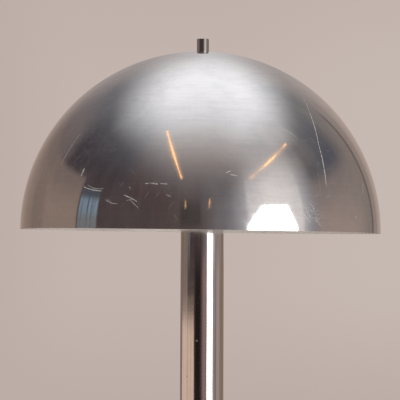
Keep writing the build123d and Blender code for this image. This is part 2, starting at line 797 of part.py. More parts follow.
# ---------------------------------------------------------------- shade, its grommet and the finial
with BuildPart() as shade_grommet:
    with BuildSketch(shade_side):
        with BuildLine():
            Polyline(
                (grommet_bore_diameter / 2, -grommet_flange_thickness),
                (grommet_flange_diameter / 2, -grommet_flange_thickness),
                (grommet_flange_diameter / 2, 0),
                (grommet_neck_diameter / 2, 0),
                (grommet_neck_diameter / 2, shade_wall),
                (grommet_bore_diameter / 2, shade_wall),
                close=True,
            )
        make_face()
    revolve(axis=shade_axis)
finish(shade_grommet, "shade_grommet")

with BuildPart() as shade:
    with BuildSketch(shade_side):
        with BuildLine():
            rim = shade_wall - crown_depth
            inner_radius = shade_radius - shade_wall
            hole_radius = grommet_neck_diameter / 2 + slip_gap
            outer_flat = (crown_flat_diameter / 2, shade_wall)
            inner_flat = (sqrt(inner_radius**2 - rim**2), 0)
            outside = TangentArc((shade_radius, rim), outer_flat, tangent=(0, 1))
            inside = TangentArc((inner_radius, rim), inner_flat, tangent=(0, 1))
            Line(outside @ 0, inside @ 0)
            Polyline(outer_flat, (hole_radius, shade_wall), (hole_radius, 0), inner_flat)
        make_face()
    revolve(axis=shade_axis)
finish(shade, "shade")

with BuildPart() as finial_washer:
    ring(
        Plane.XY.offset(washer_bottom),
        finial_washer_diameter,
        finial_spigot_diameter + 2 * slip_gap,
        finial_washer_thickness,
    )
finish(finial_washer, "finial_washer")

with BuildPart() as finial:
    with BuildSketch(Plane.XY.offset(finial_shoulder)):
        Circle(finial_diameter / 2)
    extrude(amount=finial_height)
    chamfer(finial.edges().group_by(Axis.Z)[-1], finial_chamfer)
    chamfer(finial.edges().group_by(Axis.Z)[0], finial_chamfer)
    with BuildSketch(Plane.XY.offset(washer_bottom)):
        Circle(finial_spigot_diameter / 2)
    extrude(amount=finial_shoulder - washer_bottom)
    with BuildSketch(Plane.XY.offset(washer_bottom)):
        Circle(rod_hole_diameter / 2)
    extrude(amount=finial_thread_depth, mode=Mode.SUBTRACT)
finish(finial, "finial")

print(f"rim at {rim_height:.1f} mm, top at {finial_top:.1f} mm")
print(f"shade lifts {shade_travel:.1f} mm, bulbs unscrew {bulb_travel:.1f} mm")
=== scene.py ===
import json
from math import acos, cos, degrees, pi, radians, sin, sqrt, tan

import bmesh
import bpy
from mathutils import Matrix, Vector


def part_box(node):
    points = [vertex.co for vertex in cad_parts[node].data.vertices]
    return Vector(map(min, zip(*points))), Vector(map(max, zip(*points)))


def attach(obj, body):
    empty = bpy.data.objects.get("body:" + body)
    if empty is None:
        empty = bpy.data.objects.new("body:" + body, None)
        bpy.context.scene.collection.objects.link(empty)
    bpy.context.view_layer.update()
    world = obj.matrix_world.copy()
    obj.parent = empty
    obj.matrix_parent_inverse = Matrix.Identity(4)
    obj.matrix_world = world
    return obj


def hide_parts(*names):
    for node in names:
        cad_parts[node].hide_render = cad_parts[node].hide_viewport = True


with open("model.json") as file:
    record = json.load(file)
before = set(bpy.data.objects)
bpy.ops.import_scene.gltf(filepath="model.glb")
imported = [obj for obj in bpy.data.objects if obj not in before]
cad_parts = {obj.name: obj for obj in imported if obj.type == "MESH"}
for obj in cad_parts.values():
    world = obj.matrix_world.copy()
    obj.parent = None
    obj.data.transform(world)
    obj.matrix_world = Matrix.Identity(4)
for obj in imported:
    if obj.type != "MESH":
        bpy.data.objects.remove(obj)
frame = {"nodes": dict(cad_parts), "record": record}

# Mushroom floor lamp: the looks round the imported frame. Metres, +Z up, the lamp's front towards -Y.

scene = bpy.context.scene
scene.view_settings.view_transform = "Standard"
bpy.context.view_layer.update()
cadNodes = frame["nodes"]
lampBody = "lamp_body"
armAzimuths = (90, 210, 330)

shadeValues = {
    "Crown Flat Radius": 0.020,
    "Hole Radius": 0.0066,
    "Wall": 0.0012,
    "Edge Ease": 0.0003,     # rounding of the cut rim
    "Lean": radians(0.6),    # lower on the +X side
    "Rings": 150,
    "Segments": 320,
}
shadeLow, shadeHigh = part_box("shade")
shadeRadius = (shadeHigh.y - shadeLow.y) / 2
shadeWall, crownFlat, shadeLean = (shadeValues[key] for key in ("Wall", "Crown Flat Radius", "Lean"))
shadeAxis = Vector((sin(shadeLean), 0, cos(shadeLean)))
crownUnderside = shadeHigh.z - crownFlat * sin(shadeLean) - shadeWall * shadeAxis.z
shadeCentre = Vector((0, 0, crownUnderside)) - (sqrt(shadeRadius**2 - crownFlat**2) - shadeWall) * shadeAxis


# Node trees, for shaders and geometry alike

class Value:  # what comes out of a node: it takes + - * and /, and goes into other nodes
    def __init__(self, socket):
        self.socket, self.tree = socket, socket.id_data

    def __add__(self, other):
        return sums("ADD", self, other)

    def __sub__(self, other):
        return sums("SUBTRACT", self, other)

    def __rsub__(self, other):
        return sums("SUBTRACT", other, self)

    def __mul__(self, other):
        return sums("MULTIPLY", self, other)

    def __truediv__(self, other):
        return sums("DIVIDE", self, other)


class Outputs:  # of a node, by number or by name
    def __init__(self, node):
        self.node = node

    def __getitem__(self, key):
        return Value(self.node.outputs[key])


def feed(node, inputs):  # links each Value to its input, and sets the other inputs
    for key, value in inputs.items():
        if isinstance(value, Value):
            node.id_data.links.new(value.socket, node.inputs[key])
        else:
            node.inputs[key].default_value = value


def addNode(tree, kind, inputs=None, **settings):
    family = "ShaderNode" if hasattr(bpy.types, "ShaderNode" + kind) else "GeometryNode"
    node = tree.nodes.new(family + kind)
    for key, value in settings.items():
        setattr(node, key, value)
    feed(node, inputs or {})
    return Outputs(node)


def sums(operation, *values):  # a Math node, or a Vector Math node where one of the values is a vector
    sockets = [value.socket for value in values if isinstance(value, Value)]
    tree, inputs = sockets[0].id_data, dict(enumerate(values))
    if all(socket.type not in ("VECTOR", "RGBA") for socket in sockets):
        return addNode(tree, "Math", inputs, operation=operation)[0]
    if operation == "MULTIPLY":  # a vector by a number
        return addNode(tree, "VectorMath", {0: values[0], "Scale": values[1]}, operation="SCALE")[0]
    isNumber = operation in ("LENGTH", "DOT_PRODUCT", "DISTANCE")
    return addNode(tree, "VectorMath", inputs, operation=operation)[1 if isNumber else 0]


def strongest(masks):
    whole, *others = masks
    for mask in others:
        whole = sums("MAXIMUM", whole, mask)
    return whole


def spread(value, fromLow, fromHigh, toLow=0.0, toHigh=1.0, smooth=True):  # a Map Range node
    inputs = {"Value": value, 1: fromLow, 2: fromHigh, 3: toLow, 4: toHigh}
    return addNode(value.tree, "MapRange", inputs, interpolation_type="SMOOTHSTEP" if smooth else "LINEAR")[0]


def mix(factor, first, second):  # of two colours
    first, second = ((*colour, 1) if isinstance(colour, tuple) else colour for colour in (first, second))
    return addNode(factor.tree, "Mix", {0: factor, 6: first, 7: second}, data_type="RGBA")[2]


def noise(vector, scale, detail=3.0, rough=0.55, **fourth):  # W is the fourth coordinate, where there is one
    inputs = {"Vector": vector, "Scale": scale, "Detail": detail, "Roughness": rough} | fourth
    return addNode(vector.tree, "TexNoise", inputs, noise_dimensions="4D" if fourth else "3D")[0]


def placed(vector, scale=(1, 1, 1), turn=(0, 0, 0), move=(0, 0, 0)):
    return addNode(vector.tree, "Mapping", {"Vector": vector, "Scale": scale, "Rotation": turn, "Location": move})[0]


def point(tree, x=0.0, y=0.0, z=0.0):
    return addNode(tree, "CombineXYZ", {0: x, 1: y, 2: z})[0]


def parts(vector):  # X, Y and Z
    return addNode(vector.tree, "SeparateXYZ", {0: vector})


def startTree(name, kind, inputs, outputs):
    # an input is given its first value, or the kind of its socket
    tree = bpy.data.node_groups.new(name, kind + "NodeTree")
    for label, value in inputs.items():
        isKind = isinstance(value, str)
        socketKind = value if isKind else type(value).__name__.capitalize()
        socket = tree.interface.new_socket(label, in_out="INPUT", socket_type="NodeSocket" + socketKind)
        if not isKind:
            socket.default_value = value
    for label, socketKind in outputs.items():
        tree.interface.new_socket(label, in_out="OUTPUT", socket_type="NodeSocket" + socketKind)
    return tree, Outputs(tree.nodes.new("NodeGroupInput")), tree.nodes.new("NodeGroupOutput")


# Effects that several materials share. Each puts out masks and heights from 0 to 1.

def shaderGroup(name, inputs, *outputs):
    return startTree(name, "Shader", {"Vector": "Vector"} | inputs, {label: "Float" for label in outputs})


def makeTurnedGrain():
    # fine rings round the Z axis through the point that Vector is measured from
    group, given, put = shaderGroup("turnedGrain", {
        "Rings": 900.0,      # per metre along the profile
        "Wander": 1.5,       # how much a ring changes on its way round
    }, "Tone", "Height")
    x, y, z = parts(given["Vector"])
    flat = point(group, x, y)
    around = parts(sums("NORMALIZE", flat) * given["Wander"])
    where = point(group, around[0], around[1], sums("LENGTH", flat) * given["Rings"])
    height = z * given["Rings"]
    feed(put, {
        "Tone": spread(noise(where, 0.3, 4.0, 0.7, W=height), 0.3, 0.7),
        "Height": spread(noise(where, 1.0, 4.0, 0.7, W=height), 0.25, 0.75, smooth=False),
    })
    return group


def makeHairlines():
    # fine straight scratches: one in some of the cells, each in its own direction
    group, given, put = shaderGroup("hairlines", {
        "Scale": 40.0,       # cells per metre
        "Share": 0.4,        # of the cells that have one
        "Length": 0.012,
        "Width": 0.0003,
    }, "Mask")
    cells = addNode(group, "TexVoronoi", {"Vector": given["Vector"], "Scale": given["Scale"]})
    away = given["Vector"] - cells["Position"]
    normal = addNode(group, "NewGeometry")["Normal"]
    sideways = sums("NORMALIZE", sums("CROSS_PRODUCT", cells["Color"] - (0.5, 0.5, 0.5), normal))
    line = 1.0 - spread(sums("ABSOLUTE", sums("DOT_PRODUCT", away, sideways)), 0.0, given["Width"])
    fade = 1.0 - spread(sums("LENGTH", away), 0.0, given["Length"] * 0.5)
    chance = addNode(group, "SeparateColor", {0: cells["Color"]})[2]
    feed(put, {"Mask": sums("LESS_THAN", chance, given["Share"]) * (line * fade)})
    return group


def makeStroke():
    # one line between two directions from the point that Vector is measured from
    group, given, put = shaderGroup("stroke", {
        "From": "Vector",
        "To": "Vector",
        "Bow": 0.0,          # how far its middle stands off the straight line
        "Width": 0.004,
    }, "Mask")
    start = given["From"]
    here = sums("NORMALIZE", given["Vector"])
    along = given["To"] - start
    passed = sums("DOT_PRODUCT", here - start, along) / sums("DOT_PRODUCT", along, along)
    share = addNode(group, "Clamp", {0: passed})[0]
    middle = share * (1.0 - share) * 4.0
    side = sums("NORMALIZE", sums("CROSS_PRODUCT", start, along))
    nearest = start + (along * share + side * (middle * given["Bow"]))
    away = sums("DISTANCE", here, sums("NORMALIZE", nearest))
    width = given["Width"] * (middle * 0.4 + 0.6)
    feed(put, {"Mask": 1.0 - spread(away, width * 0.3, width)})
    return group


def makeHandling():
    # broad soft smudges from cloths and fingers
    group, given, put = shaderGroup("handling", {"Scale": 9.0}, "Mask")
    broad = noise(given["Vector"], given["Scale"], 5.0, 0.6)
    wiped = noise(placed(given["Vector"], (1, 1, 6), (0.2, 0.1, 0)), given["Scale"], 4.0, 0.6)
    feed(put, {"Mask": spread(broad * 0.6 + wiped * 0.4, 0.42, 0.68)})
    return group


def makeDust():
    # thin dust on what faces up
    group, given, put = shaderGroup("dust", {"Scale": 60.0}, "Mask")
    upwards = parts(addNode(group, "NewGeometry")["Normal"])[2]
    grain = noise(given["Vector"], given["Scale"], 6.0, 0.7)
    feed(put, {"Mask": spread(upwards, 0.3, 0.95) * spread(grain, 0.35, 0.75)})
    return group


def makePits():
    # small corrosion pits: a few of the cells get a spot
    group, given, put = shaderGroup("pits", {
        "Scale": 160.0,
        "Share": 0.02,       # of the cells that hold a spot
        "Size": 0.3,         # of a spot, as a share of its cell
    }, "Mask")
    cells = addNode(group, "TexVoronoi", {"Vector": given["Vector"], "Scale": given["Scale"]})
    chance = addNode(group, "SeparateColor", {0: cells["Color"]})
    inside = 1.0 - spread(cells["Distance"], 0.0, given["Size"] * (chance[1] + 0.4))
    feed(put, {"Mask": sums("LESS_THAN", chance[0], given["Share"]) * inside})
    return group


turnedGrain, hairlines, stroke = makeTurnedGrain(), makeHairlines(), makeStroke()
handling, dust, pits = makeHandling(), makeDust(), makePits()


# Materials

def startMaterial(name):
    material = bpy.data.materials.new(name)
    material.use_nodes = True
    material.node_tree.nodes.clear()
    return material, addNode(material.node_tree, "TexCoord")["Object"]


def veiled(shader, gone):  # clear where the mask is 1
    return addNode(gone.tree, "MixShader", {0: gone, 1: shader, 2: addNode(gone.tree, "BsdfTransparent")[0]})[0]


def surfaced(material, inputs, bump=None, depth=0.0, gone=None, **constants):  # ends a material with its shader
    tree = material.node_tree
    shader = addNode(tree, "BsdfPrincipled", {label.replace("_", " "): value for label, value in constants.items()})
    feed(shader.node, inputs)
    if bump:
        feed(shader.node, {"Normal": addNode(tree, "Bump", {"Height": bump, "Distance": depth})[0]})
    addNode(tree, "OutputMaterial", {"Surface": veiled(shader[0], gone) if gone else shader[0]})
    return material


def effect(group, vector, **inputs):
    return addNode(vector.tree, "Group", {"Vector": vector} | inputs, node_tree=group)


def shaded(tint, *shares):  # darker, by one share or by one for each channel
    return tuple(channel * share for channel, share in zip(tint, shares * 3))


def heading(around, up):  # the unit vector for degrees to the right of the front and above the horizon
    around, up = radians(around), radians(up)
    return Vector((sin(around) * cos(up), -cos(around) * cos(up), sin(up)))


# scratches and a long pale line on the shade: degrees to the right of the front and above the rim, for both ends,
# then the bow, the width and how plainly it shows
shadeMarkWidth = 0.0036
shadeMarks = [
    (-45.8, 29.8, -49.9, 19.9, -0.006, 1.1, 0.45),
    (-38.9, 15.9, -38.3, 18.1, 0.0, 1.8, 0.90),
    (-37.0, 12.5, -30.3, 11.2, -0.005, 1.2, 0.70),
    (-35.8, 13.1, -29.7, 11.9, -0.009, 0.9, 0.45),
    (-28.6, 8.6, -24.5, 7.4, -0.006, 1.1, 0.50),
    (-28.1, 9.1, -26.3, 7.4, 0.0, 0.9, 0.35),
    (-22.7, 9.9, -18.5, 8.0, 0.002, 1.2, 0.70),
    (-20.7, 8.6, -17.8, 6.0, 0.0, 0.9, 0.45),
    (-21.7, 8.3, -19.2, 8.7, 0.0, 0.8, 0.35),
    (-16.1, 13.2, -14.9, 13.2, 0.0, 1.1, 0.80),
    (-14.5, 13.3, -12.5, 13.0, 0.0, 1.3, 0.90),
    (-11.6, 13.2, -9.7, 13.0, 0.0, 1.1, 0.75),
    (-21.1, 12.3, -20.7, 11.5, 0.0, 1.1, 0.50),
    (-9.8, 10.0, -8.5, 9.3, 0.0, 1.0, 0.40),
    (7.5, 16.3, 9.3, 17.1, 0.0, 1.0, 0.50),
    (8.8, 15.9, 10.9, 15.5, 0.0, 1.0, 0.50),
    (28.2, 30.7, 34.0, 27.7, 0.015, 1.0, 0.35),
    (26.7, 31.9, 32.1, 29.2, 0.010, 0.9, 0.20),
    # a long pale line down the right side, drawn in three pieces
    (49.6, 44.6, 46.5, 38.4, 0.0, 0.8, 0.6),
    (46.5, 38.4, 42.6, 26.4, 0.0, 0.8, 1.0),
    (42.6, 26.4, 41.1, 13.1, 0.0, 0.8, 1.1),
    (32.1, 6.0, 33.7, 3.5, 0.0, 0.9, 0.40),
    (33.3, 7.8, 34.9, 4.9, 0.014, 0.9, 0.35),
    (31.3, 4.6, 33.3, 2.3, 0.0, 0.9, 0.40),
    (34.7, 7.0, 35.7, 2.6, 0.008, 0.9, 0.35),
    (35.2, 3.8, 37.4, 1.2, 0.0, 0.9, 0.40),
    (31.1, 6.9, 34.6, 5.5, 0.0, 0.9, 0.30),
    (62.3, 15.0, 60.8, 10.9, 0.0, 1.0, 0.50),
    (53.7, 4.4, 54.2, 3.9, 0.0, 1.4, 0.50),
    (-55.5, 56.5, -51.1, 60.8, 0.0, 0.8, 0.15),
    (-17.0, 29.0, -9.8, 28.5, 0.014, 0.9, 0.15),
    (2.3, 26.8, 10.3, 26.3, 0.016, 0.9, 0.12),
]

# where its polish is gone cloudy: degrees to the right of the front and above the rim, and the radius in radians
shadePatches = [(-50.0, 40.0, 0.62), (48.0, 9.0, 0.30), (15.0, 12.0, 0.32)]
scuffedSpot = heading(34.5, 4.8)


def makeSpunAluminium():
    material, where = startMaterial("spunAluminium")
    grain = effect(turnedGrain, where, Rings=1400.0, Wander=4.0)
    smudge, mottle = (effect(handling, where, Scale=scale)["Mask"] for scale in (9.0, 32.0))
    fine = effect(hairlines, where, Scale=70.0, Share=0.35, Length=0.016, Width=0.0004)["Mask"]
    fromCentre = placed(where, move=-shadeCentre)
    outwards = sums("NORMALIZE", fromCentre)
    marked = strongest(
        effect(stroke, fromCentre, From=heading(around, up), To=heading(aroundEnd, upEnd), Bow=bow,
               Width=width * shadeMarkWidth)["Mask"] * strength
        for around, up, aroundEnd, upEnd, bow, width, strength in shadeMarks
    )
    broken = spread(noise(where, 520.0, 3.0, 0.7), 0.36, 0.56, 0.25, 1.0)
    scuffs = effect(hairlines, where, Scale=230.0, Share=0.85, Length=0.010, Width=0.0005)["Mask"]
    scuffs = scuffs * spread(sums("DISTANCE", outwards, scuffedSpot), 0.085, 0.03, 0.0, 0.5)
    marked = sums("MAXIMUM", marked * broken, scuffs)
    cloudy = strongest(
        spread(sums("DISTANCE", outwards, heading(around, up)), reach, reach * 0.4)
        for around, up, reach in shadePatches
    ) * spread(noise(where, 75.0, 4.0, 0.65), 0.42, 0.66)
    clean = mix(grain["Tone"], (0.845, 0.84, 0.838), (0.888, 0.883, 0.881))
    handled = mix(smudge * 0.14 + mottle * 0.30 + cloudy * 0.2, clean, (0.58, 0.60, 0.65))
    haze = smudge * 0.016 + mottle * 0.02 + cloudy * 0.035 + fine * 0.22 + marked * 0.75
    satin = spread(parts(fromCentre)[2], shadeRadius * 0.5, shadeRadius * 0.9)   # duller towards the crown
    rough = grain["Tone"] * 0.03 + smudge * 0.025 + cloudy * 0.06 + fine * 0.15 + marked * 0.4 + satin * 0.06
    return surfaced(material, {
        "Base Color": mix(marked, handled, (0.92, 0.88, 0.84)),
        "Metallic": 1.0 - haze,
        "Roughness": rough + 0.04,
        "Tangent": addNode(where.tree, "Tangent", direction_type="RADIAL", axis="Z")[0],
    }, grain["Height"] * 0.25 + fine * 0.5, 0.00001, Anisotropic=0.4, Anisotropic_Rotation=0.25)


def makeWhiteLacquer():
    material, where = startMaterial("whiteLacquer")
    grain = effect(turnedGrain, where, Rings=500.0, Wander=1.5)
    smudge = effect(handling, where, Scale=7.0)["Mask"]
    return surfaced(material, {
        "Base Color": mix(smudge * 0.5, (0.88, 0.86, 0.835), (0.80, 0.775, 0.73)),
        "Roughness": smudge * 0.15 + 0.34,
    }, noise(where, 420.0, 2.0) * 0.7 + grain["Height"] * 0.3, 0.00012, Coat_Weight=0.25, Coat_Roughness=0.2)


def makeChrome(name, tint, pitShare=0.015, rings=260.0, drawn=0.0):
    material, where = startMaterial(name)
    smudge = effect(handling, where, Scale=6.0)["Mask"]
    scratch = effect(hairlines, where, Scale=80.0, Share=0.2, Length=0.012, Width=0.0003)["Mask"]
    spots = effect(pits, where, Scale=140.0, Share=pitShare, Size=0.28)["Mask"]
    polish = effect(turnedGrain, where, Rings=rings, Wander=0.6)["Tone"]
    streak = noise(placed(where, (1, 1, 0.015)), 340.0, 5.0, 0.7)   # left by the drawing of a tube
    plain = mix(smudge * 0.4, tint, shaded(tint, 0.86))
    plain = mix(spread(streak, 0.45, 0.75, 0.0, 0.8 * drawn), plain, shaded(tint, 0.72, 0.60, 0.54))
    rough = smudge * 0.05 + scratch * 0.12 + spots * 0.5 + streak * (0.07 * drawn)
    return surfaced(material, {
        "Base Color": mix(spots, plain, (0.10, 0.045, 0.02)),
        "Metallic": 1.0 - spots * 0.7,
        "Roughness": rough + (0.025 + 0.015 * drawn),
    }, spots * -1.0 + scratch * -0.15 + polish * 0.05 + streak * (0.3 * drawn), 0.00006, Metallic=1.0)


def makeSteel(name, tint, rough=0.34, rings=1500.0):
    material, where = startMaterial(name)
    grain = effect(turnedGrain, where, Rings=rings, Wander=3.0)
    worn = effect(handling, where, Scale=60.0)["Mask"] * 0.22 + grain["Tone"] * 0.2
    return surfaced(material, {
        "Base Color": mix(worn, tint, shaded(tint, 0.62)),
        "Roughness": worn * 0.18 + rough,
    }, grain["Height"], 0.00004, Metallic=1.0)


def makeDull(name, tint, rough, bumpScale, bumpDepth, mottling=0.25, **constants):
    material, where = startMaterial(name)
    tone = noise(where, bumpScale * 0.2, 5.0, 0.6)
    fall = effect(dust, where, Scale=bumpScale)["Mask"]
    plain = mix(spread(tone, 0.35, 0.65), shaded(tint, 1 - mottling), tint)
    return surfaced(material, {
        "Base Color": mix(fall * 0.22, plain, (0.45, 0.42, 0.38)),
        "Roughness": spread(tone, 0.3, 0.7, rough, rough + 0.14),
    }, noise(where, bumpScale, 6.0, 0.6), bumpDepth, **constants)


def makeOpalGlass():
    material, where = startMaterial("opalGlass")
    cloud = noise(where, 45.0, 4.0, 0.6)
    return surfaced(material, {
        "Base Color": mix(spread(cloud, 0.3, 0.7), (0.84, 0.83, 0.80), (0.90, 0.895, 0.875)),
        "Roughness": spread(cloud, 0.3, 0.7, 0.16, 0.26),
    }, Coat_Weight=0.8, Coat_Roughness=0.04, Subsurface_Weight=0.25, Subsurface_Scale=0.004,
        Subsurface_Radius=(1.0, 0.9, 0.8))


finishes = {
    "spun_aluminium": makeSpunAluminium(),
    "polished_nut": makeChrome("polishedNut", (0.62, 0.60, 0.58), 0.004, 2600.0),
    "chrome": makeChrome("chrome", (0.72, 0.72, 0.73)),
    "nickel": makeSteel("nickel", (0.66, 0.62, 0.56), 0.2),
    "zinc_steel": makeSteel("zincSteel", (0.58, 0.60, 0.62), 0.32),
    "plain_steel": makeSteel("plainSteel", (0.46, 0.45, 0.44), 0.36),
    "black_steel": makeDull("blackSteel", (0.03, 0.03, 0.032), 0.38, 900.0, 0.00004, Metallic=0.7),
    "cast_iron": makeDull("castIron", (0.055, 0.053, 0.05), 0.62, 260.0, 0.0005),
    "felt": makeDull("felt", (0.035, 0.034, 0.033), 0.94, 700.0, 0.0006, 0.4),
    "black_plastic": makeDull("blackPlastic", (0.02, 0.02, 0.021), 0.42, 1200.0, 0.00003),
    "bakelite": makeDull("bakelite", (0.022, 0.018, 0.016), 0.26, 600.0, 0.00002, Coat_Weight=0.3),
    "porcelain": makeDull("porcelain", (0.80, 0.78, 0.73), 0.24, 300.0, 0.00005, 0.06, Coat_Weight=0.5),
    "brass": makeSteel("brass", (0.72, 0.50, 0.20), 0.26),
    "bulb_cap_metal": makeSteel("bulbCapMetal", (0.72, 0.73, 0.74), 0.24),
    "opal_glass": makeOpalGlass(),
    "rubber": makeDull("rubber", (0.02, 0.02, 0.02), 0.6, 900.0, 0.00006),
    "fibre": makeDull("fibre", (0.20, 0.055, 0.03), 0.66, 800.0, 0.00008),
    "lead_pvc": makeDull("leadPvc", (0.50, 0.48, 0.44), 0.4, 500.0, 0.00003, 0.1),
}
whiteLacquer = makeWhiteLacquer()
drawnChrome = makeChrome("drawnChrome", (0.72, 0.715, 0.72), 0.045, drawn=1.0)
print("materials made:", len(finishes) + 2)


# CAD nodes that stay get the finish of their slot
slotOf = {entry["node"]: entry["material_slot"] for entry in frame["record"]["subparts"]}
for nodeName, piece in cadNodes.items():
    piece.data.materials.clear()
    piece.data.materials.append(finishes[slotOf[nodeName]])


# Geometry trees and the meshes that they make

def geometryTree(name, inputs):
    return startTree(name, "Geometry", {"Geometry": "Geometry"} | inputs, {"Geometry": "Geometry"})


def joined(shapes):
    join = addNode(shapes[0].tree, "JoinGeometry")
    for shape in shapes:
        feed(join.node, {0: shape})
    return join[0]


def painted(shape, material):  # the end of a tree
    whole = addNode(shape.tree, "RealizeInstances", {"Geometry": shape})[0]
    return addNode(shape.tree, "SetMaterial", {"Geometry": whole, "Material": material})[0]


def revolved(profiles, segments):
    # turns profiles, drawn with X as the radius and Y as the height, round the Z axis
    hub = 0.001  # radius of the circle that the profiles are carried round
    tree = segments.tree
    moved = {"Geometry": joined(profiles[::-1]), "Translation": (-hub, 0, 0), "Scale": (1, -1, 1)}
    drawn = addNode(tree, "Transform", moved)[0]
    circle = addNode(tree, "CurvePrimitiveCircle", {"Resolution": segments, "Radius": hub}, mode="RADIUS")[0]
    swept = addNode(tree, "CurveToMesh", {"Curve": circle, "Profile Curve": drawn})[0]
    return addNode(tree, "MergeByDistance", {"Geometry": swept, "Distance": 1e-6})[0]


def meshOf(shape):  # and lets go of the shape
    mesh = bpy.data.meshes.new("made")
    shape.to_mesh(mesh)
    shape.free()
    return mesh


def evaluated(piece):
    return bpy.data.meshes.new_from_object(piece.evaluated_get(bpy.context.evaluated_depsgraph_get()))


def bake(name, tree, values, shape=None, place=None):
    # runs a geometry tree with these values, over a shape if there is one, and keeps the mesh
    maker = bpy.data.objects.new("maker", meshOf(shape or bmesh.new()))
    scene.collection.objects.link(maker)
    modifier = maker.modifiers.new("make", "NODES")
    modifier.node_group = tree
    for item in tree.interface.items_tree:
        if item.in_out == "INPUT" and item.name in values:
            modifier[item.identifier] = values[item.name]
    mesh = evaluated(maker)
    bpy.data.objects.remove(maker)
    return finished(name, mesh, place)


def finished(name, mesh, place=None, sharp=32.0):
    # closed, faces outwards, smooth but for its sharp edges, and in its place
    shape = bmesh.new()
    shape.from_mesh(mesh)
    bmesh.ops.remove_doubles(shape, verts=shape.verts, dist=1e-6)
    bmesh.ops.recalc_face_normals(shape, faces=shape.faces)
    if place:
        bmesh.ops.transform(shape, matrix=place, verts=shape.verts)
    for face in shape.faces:
        face.smooth = True
    openEdges = sum(not edge.is_manifold for edge in shape.edges)
    if openEdges:
        print("open edges in", name, openEdges)
    shape.to_mesh(mesh)
    shape.free()
    mesh.name = name
    mesh.set_sharp_from_angle(angle=radians(sharp))
    piece = bpy.data.objects.new(name, mesh)
    scene.collection.objects.link(piece)
    return piece


def dress(piece, body, slotName, *nodes):  # material by its slot's finish, body, and hides the CAD nodes that it stands for
    if not piece.data.materials:
        piece.data.materials.append(finishes[slotName])
    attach(piece, body)
    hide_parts(*nodes)
    return piece


# Shade: a spun hemisphere with a flat crown, made by a rule

def makeSpunShell():
    tree, given, put = geometryTree("spunShell", {
        "Radius": 0.25, "Crown Height": 1.478, "Outside": "Material", "Inside": "Material",
    } | shadeValues)
    radius, wall, flat, hole, ease = (
        given[label] for label in ("Radius", "Wall", "Crown Flat Radius", "Hole Radius", "Edge Ease")
    )

    def leg(hypotenuse, side):  # the other side of a right triangle
        return sums("SQRT", sums("POWER", hypotenuse, 2.0) - sums("POWER", side, 2.0))

    def dome(size, flatRadius):  # an arc from just over the rim up to the crown's flat
        start = sums("ARCSINE", ease / size)
        sweep = sums("ARCCOSINE", flatRadius / size) - start
        inputs = {"Resolution": given["Rings"], "Radius": size, "Start Angle": start, "Sweep Angle": sweep}
        return addNode(tree, "CurveArc", inputs, mode="RADIUS")[0]

    def line(start, end):
        return addNode(tree, "CurvePrimitiveLine", {"Start": point(tree, *start), "End": point(tree, *end)})[0]

    innerRadius = radius - wall
    top = leg(radius, flat)
    underside = top - wall
    innerFlat = leg(innerRadius, underside)
    rimOut, rimIn = radius - ease, innerRadius + ease
    shell = revolved([
        dome(radius, flat),
        line((flat, top), (hole, top)),
        line((hole, top), (hole, underside)),
        line((hole, underside), (innerFlat, underside)),
        dome(innerRadius, innerFlat),
        line((leg(innerRadius, ease), ease), (rimIn, 0.0)),
        line((rimIn, 0.0), (rimOut, 0.0)),
        line((rimOut, 0.0), (leg(radius, ease), ease)),
    ], given["Segments"])
    position = addNode(tree, "InputPosition")[0]
    height = parts(position)[2]
    isInner = sums("LESS_THAN", sums("LENGTH", position), radius - wall * 0.6)
    belowTop = sums("LESS_THAN", height, top - wall * 0.5)
    kept = addNode(tree, "CaptureAttribute", {"Geometry": shell}, domain="FACE")
    kept.node.capture_items.new("FLOAT", "inside")
    feed(kept.node, {1: isInner * belowTop * sums("GREATER_THAN", height, ease)})
    hung = addNode(tree, "Transform", {"Geometry": kept[0], "Translation": point(tree, z=underside * -1.0)})[0]
    leaning = addNode(tree, "Transform", {
        "Geometry": hung, "Rotation": point(tree, y=given["Lean"]), "Translation": point(tree, z=given["Crown Height"]),
    })[0]
    feed(put, {"Geometry": addNode(tree, "SetMaterial", {
        "Geometry": painted(leaning, given["Outside"]), "Selection": kept[1], "Material": given["Inside"],
    })[0]})
    return tree


shade = bake("shadeSpun", makeSpunShell(), shadeValues | {
    "Radius": shadeRadius, "Crown Height": crownUnderside,
    "Outside": finishes["spun_aluminium"], "Inside": whiteLacquer,
})
dress(shade, "shade", "spun_aluminium", "shade")
print("shade spun:", len(shade.data.polygons), "faces")


# Turned pieces: an outline of (radius, height, rounding) carried round an axis

def easedOutline(corners, steps=4):
    # rounds each corner of a closed outline, with a support point on each side of the rounding
    made = []
    for index, (x, y, rounding) in enumerate(corners):
        here = Vector((x, y))
        before = Vector(corners[index - 1][:2]) - here
        after = Vector(corners[(index + 1) % len(corners)][:2]) - here
        if rounding <= 0:
            made.append(here)
            continue
        half = before.angle(after) / 2
        back = min(rounding / tan(half), 0.48 * before.length, 0.48 * after.length)
        support = min(back + 0.6 * rounding, 0.49 * before.length, 0.49 * after.length)
        start, end = here + back * before.normalized(), here + back * after.normalized()
        made.append(here + support * before.normalized())
        for step in range(steps + 1):  # a quadratic curve is near enough to an arc at this size
            share = step / steps
            made.append(start * (1 - share) ** 2 + 2 * here * share * (1 - share) + end * share**2)
        made.append(here + support * after.normalized())
    return made


def arc(centreX, centreY, radius, fromDegrees, toDegrees, steps=16):  # points for an outline
    turns = (radians(fromDegrees + (toDegrees - fromDegrees) * step / steps) for step in range(steps + 1))
    return [(centreX + radius * cos(turn), centreY + radius * sin(turn), 0) for turn in turns]


def run(x, low, high, step):  # outline points up a wall, close enough together for a thread
    count = max(1, round((high - low) / step))
    return [(x, low + (high - low) * number / count, 0) for number in range(count + 1)]


def ringAt(shape, radius, height, count):
    turns = (2 * pi * turn / count for turn in range(count))
    return [shape.verts.new((radius * cos(turn), radius * sin(turn), height)) for turn in turns]


